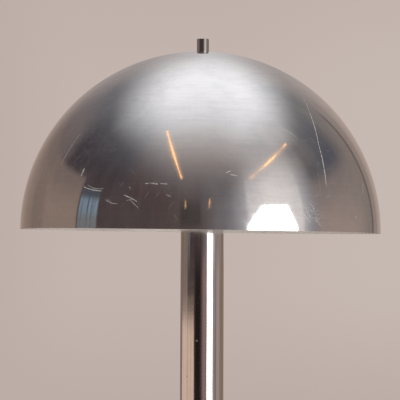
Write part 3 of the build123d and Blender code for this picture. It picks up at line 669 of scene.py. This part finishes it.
def skin(shape, rings, following):  # faces from each ring of points to the one that follows
    for first, second in zip(rings, following):
        count = max(len(first), len(second))
        for turn in range(count if count > 1 else 0):
            after = (turn + 1) % count
            loop = [first[turn % len(first)], second[turn % len(second)],
                    second[after % len(second)], first[after % len(first)]]
            shape.faces.new([vert for index, vert in enumerate(loop) if vert not in loop[:index]])


def capped(rings, shape):  # a solid from its rings
    skin(shape, rings, rings[1:])
    shape.faces.new(rings[0])
    shape.faces.new(rings[-1])
    return shape


def turnedShape(corners, segments=96):
    shape = bmesh.new()
    rings = [
        [shape.verts.new((0, 0, spot.y))] if spot.x < 1e-7 else ringAt(shape, spot.x, spot.y, segments)
        for spot in easedOutline(corners)
    ]
    skin(shape, rings, rings[1:] + rings[:1])
    return shape


def turned(name, corners, segments=96, place=None):
    return finished(name, meshOf(turnedShape(corners, segments)), place)


def lyingAlong(azimuth, height, distance=0.0):  # local Z points away from the lamp's axis
    return (
        Matrix.Translation((0, 0, height)) @ Matrix.Rotation(radians(azimuth), 4, "Z")
        @ Matrix.Rotation(radians(90), 4, "Y") @ Matrix.Translation((0, 0, distance))
    )


def drilled(piece, cutters):  # cuts cylinders of (place, radius, length) out of a piece, each up from its place
    for place, radius, length in cutters:
        cutter = turned("cutter", [(0, 0, 0), (radius, 0, 0), (radius, length, 0), (0, length, 0)], 48, place)
        modifier = piece.modifiers.new("drill", "BOOLEAN")
        modifier.object, modifier.operation, modifier.solver = cutter, "DIFFERENCE", "EXACT"
        mesh = evaluated(piece)
        piece.modifiers.clear()
        bpy.data.objects.remove(cutter)
        piece.data = mesh
    piece.data.materials.clear()
    piece.data.set_sharp_from_angle(angle=radians(32))
    return piece


def middle(box):  # height of the middle of a box
    return (box[0].z + box[1].z) / 2


def picked(values, *names):
    return [values[name] for name in names]


baseValues = {"wall": 0.0015, "cornerRadius": 0.010, "sideHeight": 0.024, "flatRadius": 0.043, "boreRadius": 0.007,
              "screwRadius": 0.0045, "screwCircleRadius": 0.018, "inletRadius": 0.0046, "segments": 256}


def makeBase():
    low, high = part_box("base_cover")
    wall, corner, side, flat = picked(baseValues, "wall", "cornerRadius", "sideHeight", "flatRadius")
    bore, away = picked(baseValues, "boreRadius", "screwCircleRadius")
    outer, lip = high.x, 0.0004
    slope = (high.z - side) / (outer - flat)
    innerSide = side + wall * slope - wall * sqrt(1 + slope**2)
    cover = turned("baseCover", [
        (bore, high.z, 0.0002), (flat, high.z, 0.004), (outer, side, corner), (outer, low.z, lip),
        (outer - wall, low.z, lip), (outer - wall, innerSide, corner - wall), (flat, high.z - wall, 0.003),
        (bore, high.z - wall, 0.0002),
    ], baseValues["segments"])
    cutters = []
    for azimuth in (30, 150, 270):
        spot = (away * cos(radians(azimuth)), away * sin(radians(azimuth)), high.z - 3 * wall)
        cutters.append((Matrix.Translation(spot), baseValues["screwRadius"], 6 * wall))
    inlet = lyingAlong(90, middle(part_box("cord_bush")), outer - 3 * wall)
    drilled(cover, cutters + [(inlet, baseValues["inletRadius"], 6 * wall)])
    dress(cover, lampBody, "chrome", "base_cover")
    print("base cover:", len(cover.data.polygons), "faces")


stemValues = {"wall": 0.002, "endRounding": 0.0004, "grubHoleRadius": 0.0026, "segments": 192}


def makeStem():
    low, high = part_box("stem_tube")
    outer, wall, ease = high.x, stemValues["wall"], stemValues["endRounding"]
    stem = turned("stemTube", [
        (outer, low.z, ease), (outer, high.z, ease), (outer - wall, high.z, ease), (outer - wall, low.z, ease),
    ], stemValues["segments"])
    grubHeight = middle(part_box("cap_screws"))
    drilled(stem, [
        (lyingAlong(azimuth, grubHeight, outer - 2 * wall), stemValues["grubHoleRadius"], 3 * wall)
        for azimuth in armAzimuths
    ])
    stem.data.materials.append(drawnChrome)
    dress(stem, lampBody, "chrome", "stem_tube")


finialValues = {"edgeRounding": 0.0006, "threadRadius": 0.0051, "threadDepth": 0.013, "spigotRadius": 0.0062,
                "shoulderRise": 0.0011}


def makeFinial():
    low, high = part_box("finial")
    ease, thread, spigot = picked(finialValues, "edgeRounding", "threadRadius", "spigotRadius")
    shoulder, blind = low.z + finialValues["shoulderRise"], low.z + finialValues["threadDepth"]
    finial = turned("finialNut", [
        (0, high.z, 0), (high.x, high.z, ease), (high.x, shoulder, ease), (spigot, shoulder, 0),
        (spigot, low.z, 0.0002), (thread, low.z, 0.0002), (thread, blind, 0), (0, blind, 0),
    ])
    dress(finial, "finial", "polished_nut", "finial")


ringValues = {"sleeveBore": 0.0052, "sleeveRounding": 0.0003, "seatChamfer": 0.0012}


def makeSleeveAndSeat():
    bore, ease, cut = picked(ringValues, "sleeveBore", "sleeveRounding", "seatChamfer")
    low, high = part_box("rod_sleeve")
    sleeve = turned("rodSleeve", [
        (high.x, low.z, ease), (high.x, high.z, ease), (bore, high.z, ease), (bore, low.z, ease),
    ], 64)
    dress(sleeve, lampBody, "nickel", "rod_sleeve")
    low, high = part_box("shade_seat")
    seat = turned("seatDisc", [
        (high.x - cut, low.z, 0.0001), (high.x, low.z + cut, 0.0001), (high.x, high.z, 0.0002),
        (bore, high.z, 0.0002), (bore, low.z, 0.0002),
    ])
    dress(seat, lampBody, "zinc_steel", "shade_seat")


makeBase()
makeStem()
makeFinial()
makeSleeveAndSeat()
print("base, stem, sleeve and finial turned")


# Light cluster: three bent arms, each with a ribbed lampholder and a bulb

armValues = {
    "Inner End": 0.012594,
    "Bend Start": 0.034,
    "Bend Radius": 0.020,
    "Rise": radians(50.0),   # of the bulbs above the horizontal
    "End Run": 0.010,
    "Radius": 0.005,
    "Bore": 0.0035,
    "Sides": 48,
    "Bend Steps": 14,
}
clusterValues = {"armHeight": 1.271, "armInHolder": 0.008}


def holderPlace(azimuth, along):  # local Z runs along the lampholder, from the end that takes the arm
    rise, bend = armValues["Rise"], armValues["Bend Radius"]
    last = armValues["End Run"] - clusterValues["armInHolder"]
    out = armValues["Bend Start"] + bend * sin(rise) + last * cos(rise)
    up = clusterValues["armHeight"] + bend * (1 - cos(rise)) + last * sin(rise)
    return (
        Matrix.Rotation(radians(azimuth), 4, "Z") @ Matrix.Translation((out, 0, up))
        @ Matrix.Rotation(pi / 2 - rise, 4, "Y") @ Matrix.Translation((0, 0, along))
    )


def makeBentTube():
    tree, given, put = geometryTree("bentTube", armValues | {"Material": "Material"})
    bend, rise = given["Bend Radius"], given["Rise"]
    toCorner = bend * sums("TANGENT", rise * 0.5)
    cornerX = given["Bend Start"] + toCorner
    onwards = toCorner + given["End Run"]
    endX, endZ = cornerX + onwards * sums("COSINE", rise), onwards * sums("SINE", rise)
    index = addNode(tree, "InputIndex")[0]
    isFirst, isMiddle, isLast = (sums("COMPARE", index, number, 0.1) for number in (0.0, 1.0, 2.0))
    spot = point(tree, isFirst * given["Inner End"] + (isMiddle * cornerX + isLast * endX), 0.0, isLast * endZ)
    threePoints = addNode(tree, "MeshLine", {"Count": 3})[0]
    bent = addNode(tree, "SetPosition", {"Geometry": threePoints, "Position": spot})[0]
    corner = addNode(tree, "MeshToCurve", {"Mesh": bent})[0]
    filleted = {"Curve": corner, "Radius": bend, "Count": given["Bend Steps"]}
    route = addNode(tree, "FilletCurve", filleted, mode="POLY")[0]
    circles = [
        addNode(tree, "CurvePrimitiveCircle", {"Resolution": given["Sides"], "Radius": radius}, mode="RADIUS")[0]
        for radius in (given["Radius"], given["Bore"])
    ]
    walls = [addNode(tree, "CurveToMesh", {"Curve": route, "Profile Curve": circle})[0] for circle in circles]
    ends = addNode(tree, "CurveToPoints", {"Curve": route}, mode="EVALUATED")
    spots = ends["Points"]
    total = addNode(tree, "AttributeDomainSize", {"Geometry": spots}, component="POINTCLOUD")["Point Count"]
    isEnd = sums("MAXIMUM", isFirst, sums("COMPARE", index, total - 1.0, 0.1))
    annulus = addNode(tree, "FillCurve", {"Curve": joined(circles)})[0]
    caps = addNode(tree, "InstanceOnPoints", {
        "Points": spots, "Selection": isEnd, "Instance": annulus, "Rotation": ends["Rotation"],
    })[0]
    whole = addNode(tree, "RealizeInstances", {"Geometry": joined(walls + [caps])})[0]
    merged = addNode(tree, "MergeByDistance", {"Geometry": whole, "Distance": 2e-6})[0]
    feed(put, {"Geometry": painted(merged, given["Material"])})
    return tree


def makeArms():
    bentTube, values = makeBentTube(), armValues | {"Material": finishes["nickel"]}
    for number, azimuth in enumerate(armAzimuths, 1):
        place = Matrix.Translation((0, 0, clusterValues["armHeight"])) @ Matrix.Rotation(radians(azimuth), 4, "Z")
        arm = bake(f"armTube{number}", bentTube, values, place=place)
        dress(arm, lampBody, "nickel", f"arm_{number}")


def makeRingOf():
    # copies of the shape that it is given, round the Z axis
    tree, given, put = geometryTree("ringOf", {"Count": 3, "Radius": 0.02, "First Angle": 0.0, "Material": "Material"})
    circle = addNode(tree, "MeshCircle", {"Vertices": given["Count"], "Radius": given["Radius"]})[0]
    turn = addNode(tree, "InputIndex")[0] * sums("DIVIDE", 2 * pi, given["Count"])
    copies = addNode(tree, "InstanceOnPoints", {
        "Points": circle, "Instance": given["Geometry"], "Rotation": point(tree, z=turn),
    })[0]
    ring = addNode(tree, "Transform", {"Geometry": copies, "Rotation": point(tree, z=given["First Angle"])})[0]
    feed(put, {"Geometry": painted(ring, given["Material"])})
    return tree


def makeRolledThread():
    # presses a round thread into the outer wall of the shape that it is given, from Low to High
    tree, given, put = geometryTree("rolledThread", {
        "Radius": 0.0131, "Pitch": 0.0036, "Depth": 0.0007, "Low": 0.0, "High": 0.02, "Material": "Material",
    })
    pitch, low, high = given["Pitch"], given["Low"], given["High"]
    x, y, z = parts(addNode(tree, "InputPosition")[0])
    flat = point(tree, x, y)
    onWall = sums("GREATER_THAN", sums("LENGTH", flat), given["Radius"] - 0.0001)
    wave = sums("COSINE", z / pitch * (2 * pi) - sums("ARCTAN2", y, x)) * -0.5 + 0.5
    runIn = pitch * 0.6
    depth = wave * given["Depth"] * (spread(z, low, low + runIn) * spread(z, high, high - runIn))
    pressed = addNode(tree, "SetPosition", {
        "Geometry": given["Geometry"], "Selection": onWall, "Offset": sums("NORMALIZE", flat) * (depth * -1.0),
    })[0]
    feed(put, {"Geometry": painted(pressed, given["Material"])})
    return tree


ringOf, rolledThread = makeRingOf(), makeRolledThread()

holderValues = {
    "radius": 0.020,
    "mouthRadius": 0.019,
    "skirtBore": 0.0145,
    "spigotRadius": 0.0172,
    "capBore": 0.0051,
    "ribs": 40,
    "ribHeight": 0.0005,
    "ribWidth": 0.0014,
    "ribLow": 0.0290,
    "ribHigh": 0.0525,
}


def makeRib():  # lies along a lampholder's side, thinner at both ends
    body, mouth, proud, low, high = picked(holderValues, "radius", "mouthRadius", "ribHeight", "ribLow", "ribHigh")
    half, foot = holderValues["ribWidth"] / 2, 0.0006
    shape = bmesh.new()
    rings = []
    for share, rise in ((0.0, 0.15), (0.03, 0.75), (0.1, 1.0), (0.9, 1.0), (0.97, 0.75), (1.0, 0.15)):
        lean = (body - proud - mouth + proud * 0.4) * share
        top = proud * rise
        section = [(-foot, -half), (top * 0.55, -half * 0.75), (top, -half * 0.3),
                   (top, half * 0.3), (top * 0.55, half * 0.75), (-foot, half)]
        along = low + (high - low) * share
        rings.append([shape.verts.new((out - lean, across, along)) for out, across in section])
    return capped(rings, shape)


def makeLampholders():
    radius, mouth, bore, spigot, capBore, proud, low, high = picked(
        holderValues, "radius", "mouthRadius", "skirtBore", "spigotRadius", "capBore", "ribHeight", "ribLow", "ribHigh"
    )
    capOutline = [
        (radius, 0.017, 0.0015), (radius - 0.0025, 0.0115, 0.0012), (0.0075, 0.005, 0.0008), (0.0075, 0.0, 0.0004),
        (capBore, 0.0, 0.0003), (capBore, 0.008, 0), (0.0153, 0.012, 0), (0.0153, 0.018, 0), (0.0173, 0.018, 0),
        (0.0173, 0.026, 0.0002), (radius, 0.026, 0.0004),
    ]
    skirtOutline = [
        (bore, 0.021, 0.0002), (spigot, 0.021, 0.0002), (spigot, 0.026, 0), (radius, 0.026, 0.0004),
        (radius, low - 0.0012, 0.0004), (radius - proud, low - 0.0006, 0.0002),
        (mouth - proud * 0.4, high + 0.0010, 0.0002), (mouth + 0.0002, high + 0.0017, 0.0003),
        (mouth, 0.0585, 0.0008), (mouth - 0.0015, 0.060, 0.0005), (bore, 0.060, 0.0006),
    ]
    for number, azimuth in enumerate(armAzimuths, 1):
        place = holderPlace(azimuth, 0)
        dress(turned(f"holderCap{number}", capOutline, 96, place), lampBody, "bakelite", f"holder_cap_{number}")
        skirt = turned(f"holderSkirt{number}", skirtOutline, 96, place)
        ribs = bake(f"holderRibs{number}", ringOf, {
            "Count": holderValues["ribs"], "Radius": radius - proud, "Material": finishes["bakelite"],
        }, makeRib(), place)
        dress(skirt, lampBody, "bakelite", f"holder_skirt_{number}")
        dress(ribs, lampBody, "bakelite")


bulbValues = {
    "seat": 0.0330,          # along the lampholder's axis
    "capRadius": 0.0131,
    "capWall": 0.0006,
    "capLength": 0.023,
    "insulatorRadius": 0.0098,
    "contactRadius": 0.0045,
    "neckRadius": 0.014,
    "neckEnd": 0.0323,
    "shoulderRadius": 0.035,
    "ballRadius": 0.030,
    "ballCentre": 0.075,
}
bulbThread = {"Radius": bulbValues["capRadius"], "Pitch": 0.0036, "Depth": 0.0009, "Low": 0.0048, "High": 0.0215}


def makeBulbs():
    wall, capRadius, length, contact = picked(bulbValues, "capWall", "capRadius", "capLength", "contactRadius")
    neck, neckEnd, shoulder, ball, centre = picked(
        bulbValues, "neckRadius", "neckEnd", "shoulderRadius", "ballRadius", "ballCentre"
    )
    blend = ball / (ball + shoulder)
    meetX = blend * (neck + shoulder)
    shoulderTurn, ballTurn = degrees(acos((meetX - neck - shoulder) / shoulder)), -degrees(acos(meetX / ball))
    glassOutline = [
        (0, 0.015, 0), (0.0123, 0.015, 0.0003), (0.0123, length, 0), (neck - 0.0006, length, 0.0004),
        (neck, length + 0.002, 0.001),
        *arc(neck + shoulder, neckEnd, shoulder, 180, shoulderTurn, 14),
        *arc(0, centre, ball, ballTurn, 89.5, 40)[1:],
        (0, centre + ball, 0),
    ]
    capOutline = [
        (0, 0, 0), (contact - 0.0006, 0, 0.0003), (contact, 0.0006, 0.0002),
        (bulbValues["insulatorRadius"], 0.0030, 0.0004), (capRadius - 0.0008, 0.0040, 0.0004),
        *run(capRadius, 0.0046, bulbThread["High"], bulbThread["Pitch"] / 14),
        (capRadius, length, 0.0003), (capRadius - wall, length, 0), (capRadius - wall, 0.006, 0), (0, 0.006, 0),
    ]
    for number, azimuth in enumerate(armAzimuths, 1):
        place = holderPlace(azimuth, bulbValues["seat"])
        glass = turned(f"bulbGlass{number}", glassOutline, 96, place)
        dress(glass, f"bulb_{number}", "opal_glass", f"bulb_glass_{number}")
        cap = bake(f"bulbCap{number}", rolledThread, bulbThread | {"Material": finishes["bulb_cap_metal"]},
                   turnedShape(capOutline, 72), place)
        dress(cap, f"bulb_{number}", "bulb_cap_metal", f"bulb_cap_{number}")


makeArms()
makeLampholders()
makeBulbs()
print("light cluster made")


# Screws and threads

fastenerValues = {
    "footScrewCircle": 0.018,
    "footHeadFlats": 0.013,
    "footHeadHeight": 0.0053,
    "footShankRadius": 0.004,
    "washerRadius": 0.008,
    "washerHole": 0.00455,
    "rodPitch": 0.001,
    "rodDepth": 0.0005,
    "rodThreadLength": 0.020,
}


def hexagonHead(flats, height, base):  # hangs from its base, with its corners turned down at the other end
    shape = bmesh.new()
    rings = []
    for level, cut in ((0.0, 0.995), (height - 0.0007, 0.995), (height, 0.90)):
        ring = []
        for corner in range(24):
            turn = 2 * pi * corner / 24
            fromFlat = (turn + pi / 6) % (pi / 3) - pi / 6
            away = min(flats / 2 / cos(fromFlat), cut * flats / sqrt(3))
            ring.append(shape.verts.new((away * cos(turn), away * sin(turn), base - level)))
        rings.append(ring)
    return capped(rings, shape)


def makeFasteners():
    circle, flats, headHeight, shank, outer, inner = picked(
        fastenerValues, "footScrewCircle", "footHeadFlats", "footHeadHeight", "footShankRadius", "washerRadius",
        "washerHole"
    )
    low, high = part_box("foot_screws")
    headTop, ease = low.z + headHeight, 0.0002
    screw = hexagonHead(flats, headHeight, headTop)
    screw.from_mesh(meshOf(turnedShape([
        (0, headTop - 0.0005, 0), (shank, headTop - 0.0005, 0), (shank, high.z - 0.0006, ease),
        (shank - 0.0007, high.z, 0), (0, high.z, 0),
    ], 32)))
    low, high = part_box("foot_washers")
    washer = turnedShape([(outer, low.z, ease), (outer, high.z, ease), (inner, high.z, 0), (inner, low.z, 0)], 48)
    values = {"Count": 3, "First Angle": radians(30), "Radius": circle, "Material": finishes["zinc_steel"]}
    for name, shape, node in (("footScrews", screw, "foot_screws"), ("footWashers", washer, "foot_washers")):
        dress(bake(name, ringOf, values, shape), lampBody, "zinc_steel", node)


def makeRod():
    low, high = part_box("shade_rod")
    radius, pitch = high.x, fastenerValues["rodPitch"]
    threadLow = high.z - fastenerValues["rodThreadLength"]
    outline = [
        (0, low.z, 0), (radius, low.z, 0.0003), *run(radius, threadLow, high.z - 0.0008, pitch / 8),
        (radius - 0.0007, high.z, 0), (0, high.z, 0),
    ]
    rod = bake("shadeRod", rolledThread, {
        "Radius": radius, "Pitch": pitch, "Depth": fastenerValues["rodDepth"], "Low": threadLow,
        "High": high.z + pitch, "Material": finishes["zinc_steel"],
    }, turnedShape(outline, 48))
    dress(rod, lampBody, "zinc_steel", "shade_rod")


makeFasteners()
makeRod()
print("screws and rod made")


# Studio: a pale floor, the room that the metal mirrors, and one large eight-sided soft light

studioValues = {
    "fill": 0.62,                             # level of the soft light from all round
    "softboxCentre": (1.035, -1.160, 1.115),
    "softboxLevel": 3.0,
    "softboxHalf": [(0.22, 0.485), (0.43, 0.18), (0.43, -0.36), (0.24, -0.58)],  # its right half, from the top
    "softboxTopShift": 0.04,                  # its top corners to the right
    "floorRadius": 4.0,
    "floorHole": 0.157,                       # open under the pad, so that the underside has light
    "floorDrop": 0.0003,
}

# what the metal mirrors, in linear colours
roomColours = {
    "paper": (0.445, 0.348, 0.300),
    "leftWall": (0.262, 0.190, 0.154),
    "leftWallTop": (0.186, 0.138, 0.118),
    "leftHaze": (0.160, 0.122, 0.115),
    "rightHaze": (0.232, 0.186, 0.166),
    "rightWall": (0.326, 0.247, 0.215),
    "rightWallTop": (0.189, 0.152, 0.140),
    "darkLeft": (0.074, 0.052, 0.052),
    "darkFront": (0.086, 0.062, 0.057),
    "hazyFront": (0.332, 0.331, 0.358),
    "darkCorner": (0.020, 0.029, 0.067),
    "upperLeft": (0.049, 0.039, 0.045),
    "upperFront": (0.085, 0.055, 0.051),
    "upperRight": (0.159, 0.141, 0.134),
    "window": (0.20, 0.26, 0.315),
    "windowLow": (0.165, 0.150, 0.140),
    "mullion": (0.070, 0.073, 0.090),
    "post": (0.034, 0.030, 0.029),
    "boxHaze": (0.779, 0.717, 0.691),
    "ceilingDim": (0.291, 0.305, 0.326),
    "ceilingFront": (0.880, 0.668, 0.530),
    "ceiling": (1.050, 1.035, 1.050),
    "ceilingBack": (0.622, 0.599, 0.606),
    "warmTube": (2.7, 1.35, 0.55),
    "lowOpening": (0.060, 0.042, 0.038),
    "lowDark": (0.014, 0.010, 0.009),
    "lowPanel": (0.300, 0.195, 0.178),
    "lowLeft": (0.240, 0.175, 0.150),
    "lowRight": (0.400, 0.325, 0.300),
    "lowRightEnd": (0.290, 0.205, 0.150),
    "lowReflector": (0.780, 0.575, 0.450),
}

# two warm tubes under the ceiling, and small warm lights by the post: degrees to the right of the front
# and up, for both ends, then the bow and the width
warmTubes = [
    (-37.4, 61.0, -13.0, 31.9, -0.003, 0.0105),
    (76.8, 45.0, 34.2, 30.8, 0.0105, 0.0095),
    (5.9, 19.0, 5.3, 13.5, 0.0, 0.003),
    (-9.3, 18.0, -9.1, 13.2, 0.0, 0.0022),
]


def makeRoom():
    world = bpy.data.worlds.new("studio")
    world.use_nodes = True
    scene.world = world
    tree = world.node_tree
    tree.nodes.clear()
    direction = addNode(tree, "TexCoord")["Generated"]
    x, y, z = parts(direction)

    def angle(first, second):
        return sums("ARCTAN2", first, second) * degrees(1)

    def past(value, middle, soft):           # 0 before the middle, 1 after it
        return spread(value, middle - soft, middle + soft)

    def near(value, centre, flat, soft):     # 1 within flat of the centre, 0 past flat and soft
        return 1.0 - spread(sums("ABSOLUTE", value - centre), flat, flat + soft)

    def under(value, middle, soft):          # 1 before the middle, 0 after it
        return 1.0 - past(value, middle, soft)

    def fading(value, start, end):           # 1 at the start, 0 at the end
        return 1.0 - spread(value, start, end)

    def over(below, *layers):                # colours laid over one another, each by its mask
        shown = roomColours[below] if isinstance(below, str) else below
        for mask, name in layers:
            shown = mix(mask, shown, roomColours[name])
        return shown

    around = angle(x, y * -1.0)              # 0 in front, 90 on the right, 180 at the back
    up = sums("ARCSINE", z) * degrees(1)
    backwards, sideways = angle(y, z), angle(x, z)   # tilts of a direction from straight up
    aside = sums("ABSOLUTE", sideways)
    fromBack = 180.0 - sums("ABSOLUTE", around)
    onRight = sums("GREATER_THAN", x, 0.0)

    # the dark side of the room, in front and above
    room = over("darkLeft", (past(around, -24, 8), "darkFront"), (past(around, 20.9, 29.2), "hazyFront"),
                (spread(around, 45.0, 66.0), "darkCorner"))
    upper = over("upperLeft", (past(around, -48.9, 8.6), "upperFront"), (past(around, 40.2, 11.6), "upperRight"))
    room = mix(past(up, 24.8, 14.8), room, upper)
    room = over(room, (near(around, -6.0, 4.5, 3.5) * near(up, 10.5, 5.0, 6.0) * 0.6, "post"))
    across = point(tree, around * 0.16, up * 0.025)
    streaks = spread(noise(across, 1.0, 5.0, 0.65), 0.3, 0.7, 0.84, 1.16, smooth=False)
    room = room * streaks
    # walls at both sides, a window at the end of the left one, and a light stand before the right one
    rightSide = over("rightWall", (spread(up, 3.0, 25.0, smooth=False), "rightWallTop"))
    room = mix(past(around, 76.5, 7.1) * under(up, 25.0, 4.0), room, rightSide)
    thinner = 1.0 - past(up, 40.0, 7.0) * 0.65
    room = over(
        room,
        (near(around, 108.0, 6.0, 14.0) * near(up, 36.0, 5.0, 8.0) * 0.4, "darkCorner"),
        (fading(around, -124.0, -103.0) * thinner, "leftHaze"),
        (spread(around, 110.0, 138.0) * under(up, 38.0, 10.0), "rightHaze"),
    )
    nook = near(around, -127.0, 5.0, 9.0) * 0.7
    dimmer = sums("MAXIMUM", spread(up, 8.0, 24.0), nook) + (streaks - 1.0)
    leftSide = over("leftWall", (dimmer, "leftWallTop"))
    room = mix(under(around, -83.2, 0.8) * under(up, 25.0, 1.6), room, leftSide)
    window = near(around, -74.6, 7.0, 0.8) * under(up, 20.0, 1.0)
    panes = spread(noise(point(tree, around * 0.62, up * 0.012, 3.0), 1.0, 2.0), 0.38, 0.52)
    poles = sums("MAXIMUM", near(around, 148.6, 0.5, 1.3) * 0.55, near(around, 139.6, 0.6, 1.3) * 0.8)
    # the paper at the back and the haze over the soft light
    paper = onRight * fading(fromBack, 14.8, 45.4) + (1.0 - onRight) * fading(fromBack, 0.0, 41.0)
    dim = fading(aside, 19.3, 60.5) * spread(backwards, -82.8, -36.0)
    room = over(
        room,
        (window, "mullion"),
        (panes * window * under(up, 16.0, 2.0), "window"),
        (window * under(up, 8.0, 3.5) * 0.75, "windowLow"),
        (poles * under(up, 33.0, 3.0), "darkLeft"),
        (paper, "paper"),
        (near(around, 50.5, 4.3, 30.0) * fading(up, 13.0, 70.0), "boxHaze"),
        (near(around, 48.0, 17.6, 2.4) * fading(up, 10.0, 40.0) * 0.72, "boxHaze"),
        (dim * 0.468, "ceilingDim"),         # a faint light all over the ceiling
    )
    # a bright strip of the ceiling, which runs on to the back
    flat = onRight * 9.0 + 9.3 - spread(backwards, 0.0, 90.0, smooth=False) * 29.5
    soft = onRight * -5.3 + 35.6
    strip = fading(aside, flat, flat + soft) * spread(backwards, -68.8, 17.3)
    light = over("ceilingFront", (spread(backwards, -58.2, -15.7), "ceiling"),
                 (spread(backwards, 20.2, 62.3), "ceilingBack"))
    room = over(mix(strip, room, light), (near(around, 74.0, 6.0, 14.0) * near(up, 52.0, 3.0, 9.0) * 0.28, "boxHaze"))
    for fromAround, fromUp, toAround, toUp, bow, width in warmTubes:
        for wider, share in ((5.0, 0.05), (1.0, 1.0)):  # its glow, then the tube
            tube = effect(stroke, direction, From=heading(fromAround, fromUp), To=heading(toAround, toUp), Bow=bow,
                          Width=width * wider)["Mask"]
            room = over(room, (tube * share, "warmTube"))
    # below eye level
    low = over(
        "lowLeft",
        (past(around, -84.0, 5.0), "lowOpening"),
        (near(around, -23.0, 9.0, 9.0) * 0.95, "lowDark"),
        (past(around, 1.0, 8.0), "lowPanel"),
        (past(around, 60.0, 4.0), "lowRight"),
        (near(around, 76.0, 3.0, 5.0) * 0.35, "lowDark"),
        (past(around, 108.0, 9.0), "lowRightEnd"),
        (near(around, -87.0, 43.0, 2.0) * under(up, -2.95, 0.3), "lowReflector"),
    )
    room = mix(under(up, -0.6, 0.6), room, low)

    # the paper as the camera sees it, with painted shade: a little darker at the left, the bottom and the corners
    backdropWithShade = mix(spread(x, -0.17, -0.08), (0.500, 0.417, 0.378), (0.545, 0.459, 0.422))
    backdropWithShade = mix(spread(x, 0.0, 0.13), backdropWithShade, (0.565, 0.483, 0.446))
    backdropWithShade = mix(spread(z, -0.13, -0.02), (0.500, 0.420, 0.378), backdropWithShade)
    backdropWithShade = mix(spread(z, 0.10, 0.19, 0.0, 0.5), backdropWithShade, (0.505, 0.425, 0.385))
    rays = addNode(tree, "LightPath")
    mirrored = addNode(tree, "Background", {"Color": room})[0]
    filling = addNode(tree, "Background", {"Color": (1, 0.985, 0.97, 1), "Strength": studioValues["fill"]})[0]
    backdrop = addNode(tree, "Background", {"Color": backdropWithShade})[0]
    lighting = addNode(tree, "MixShader", {0: rays["Is Glossy Ray"], 1: filling, 2: mirrored})[0]
    plainSight = sums("MAXIMUM", rays["Is Camera Ray"], rays["Is Transmission Ray"])
    whole = addNode(tree, "MixShader", {0: plainSight, 1: lighting, 2: backdrop})[0]
    addNode(tree, "OutputWorld", {"Surface": whole})


def hiddenLight(name, colour, level):  # glows for every ray but the camera's own
    material = startMaterial(name)[0]
    tree = material.node_tree
    glow = addNode(tree, "Emission", {"Color": (*colour, 1), "Strength": level})[0]
    unseen = sums("MAXIMUM", addNode(tree, "NewGeometry")["Backfacing"], addNode(tree, "LightPath")["Is Camera Ray"])
    addNode(tree, "OutputMaterial", {"Surface": veiled(glow, unseen)})
    return material


def stagePiece(name, mesh, material):
    piece = bpy.data.objects.new(name, mesh)
    scene.collection.objects.link(piece)
    mesh.materials.append(material)


def makeSoftbox():
    centre, shift, half = picked(studioValues, "softboxCentre", "softboxTopShift", "softboxHalf")
    centre, upright = Vector(centre), Vector((0, 0, 1))
    facing = (Vector((0, 0, centre.z)) - centre).normalized()
    right = facing.cross(upright).normalized()
    outline = half + [(-across, height) for across, height in reversed(half)]
    corners = [
        centre + (across + (shift if height > 0.3 else 0.0)) * right + height * upright for across, height in outline
    ]
    mesh = bpy.data.meshes.new("softbox")
    mesh.from_pydata(corners, [], [list(range(len(corners)))])
    if mesh.polygons[0].normal.dot(facing) < 0:
        mesh.flip_normals()
    stagePiece("softbox", mesh, hiddenLight("softboxCloth", (1, 0.99, 0.97), studioValues["softboxLevel"]))


def makeFloor():
    shape = bmesh.new()
    inner, outer, drop = picked(studioValues, "floorHole", "floorRadius", "floorDrop")
    rings = [ringAt(shape, radius, -drop, 96) for radius in (inner, outer)]
    skin(shape, rings, rings[1:])
    material, where = startMaterial("floorPaper")
    paper = mix(noise(where, 3.0, 4.0), (0.83, 0.705, 0.635), (0.88, 0.75, 0.675))
    gone = sums("MAXIMUM", spread(sums("LENGTH", where), 1.4, 3.6), addNode(where.tree, "NewGeometry")["Backfacing"])
    stagePiece("floor", meshOf(shape), surfaced(material, {"Base Color": paper}, gone=gone, Roughness=0.85))


makeRoom()
makeSoftbox()
makeFloor()
print("studio made")


# Camera: level with the shade's rim, looking slightly up

cameraValues = {
    "distance": 2.0,
    "height": 1.214,
    "lens": 128.8,
    "pitch": 1.725,          # degrees up
    "yaw": 0.095,            # degrees to the left
    "roll": 0.2,
}


def makeCamera():
    camera = bpy.data.objects.new("camera", bpy.data.cameras.new("camera"))
    scene.collection.objects.link(camera)
    camera.data.sensor_width = 36.0
    camera.data.lens = cameraValues["lens"]
    camera.data.clip_end = 50.0
    camera.location = (0, -cameraValues["distance"], cameraValues["height"])
    yaw, pitch, roll = (radians(turn) for turn in picked(cameraValues, "yaw", "pitch", "roll"))
    turns = Matrix.Rotation(yaw, 4, "Z") @ Matrix.Rotation(radians(90) + pitch, 4, "X") @ Matrix.Rotation(roll, 4, "Z")
    camera.rotation_euler = turns.to_euler()
    scene.camera = camera


makeCamera()
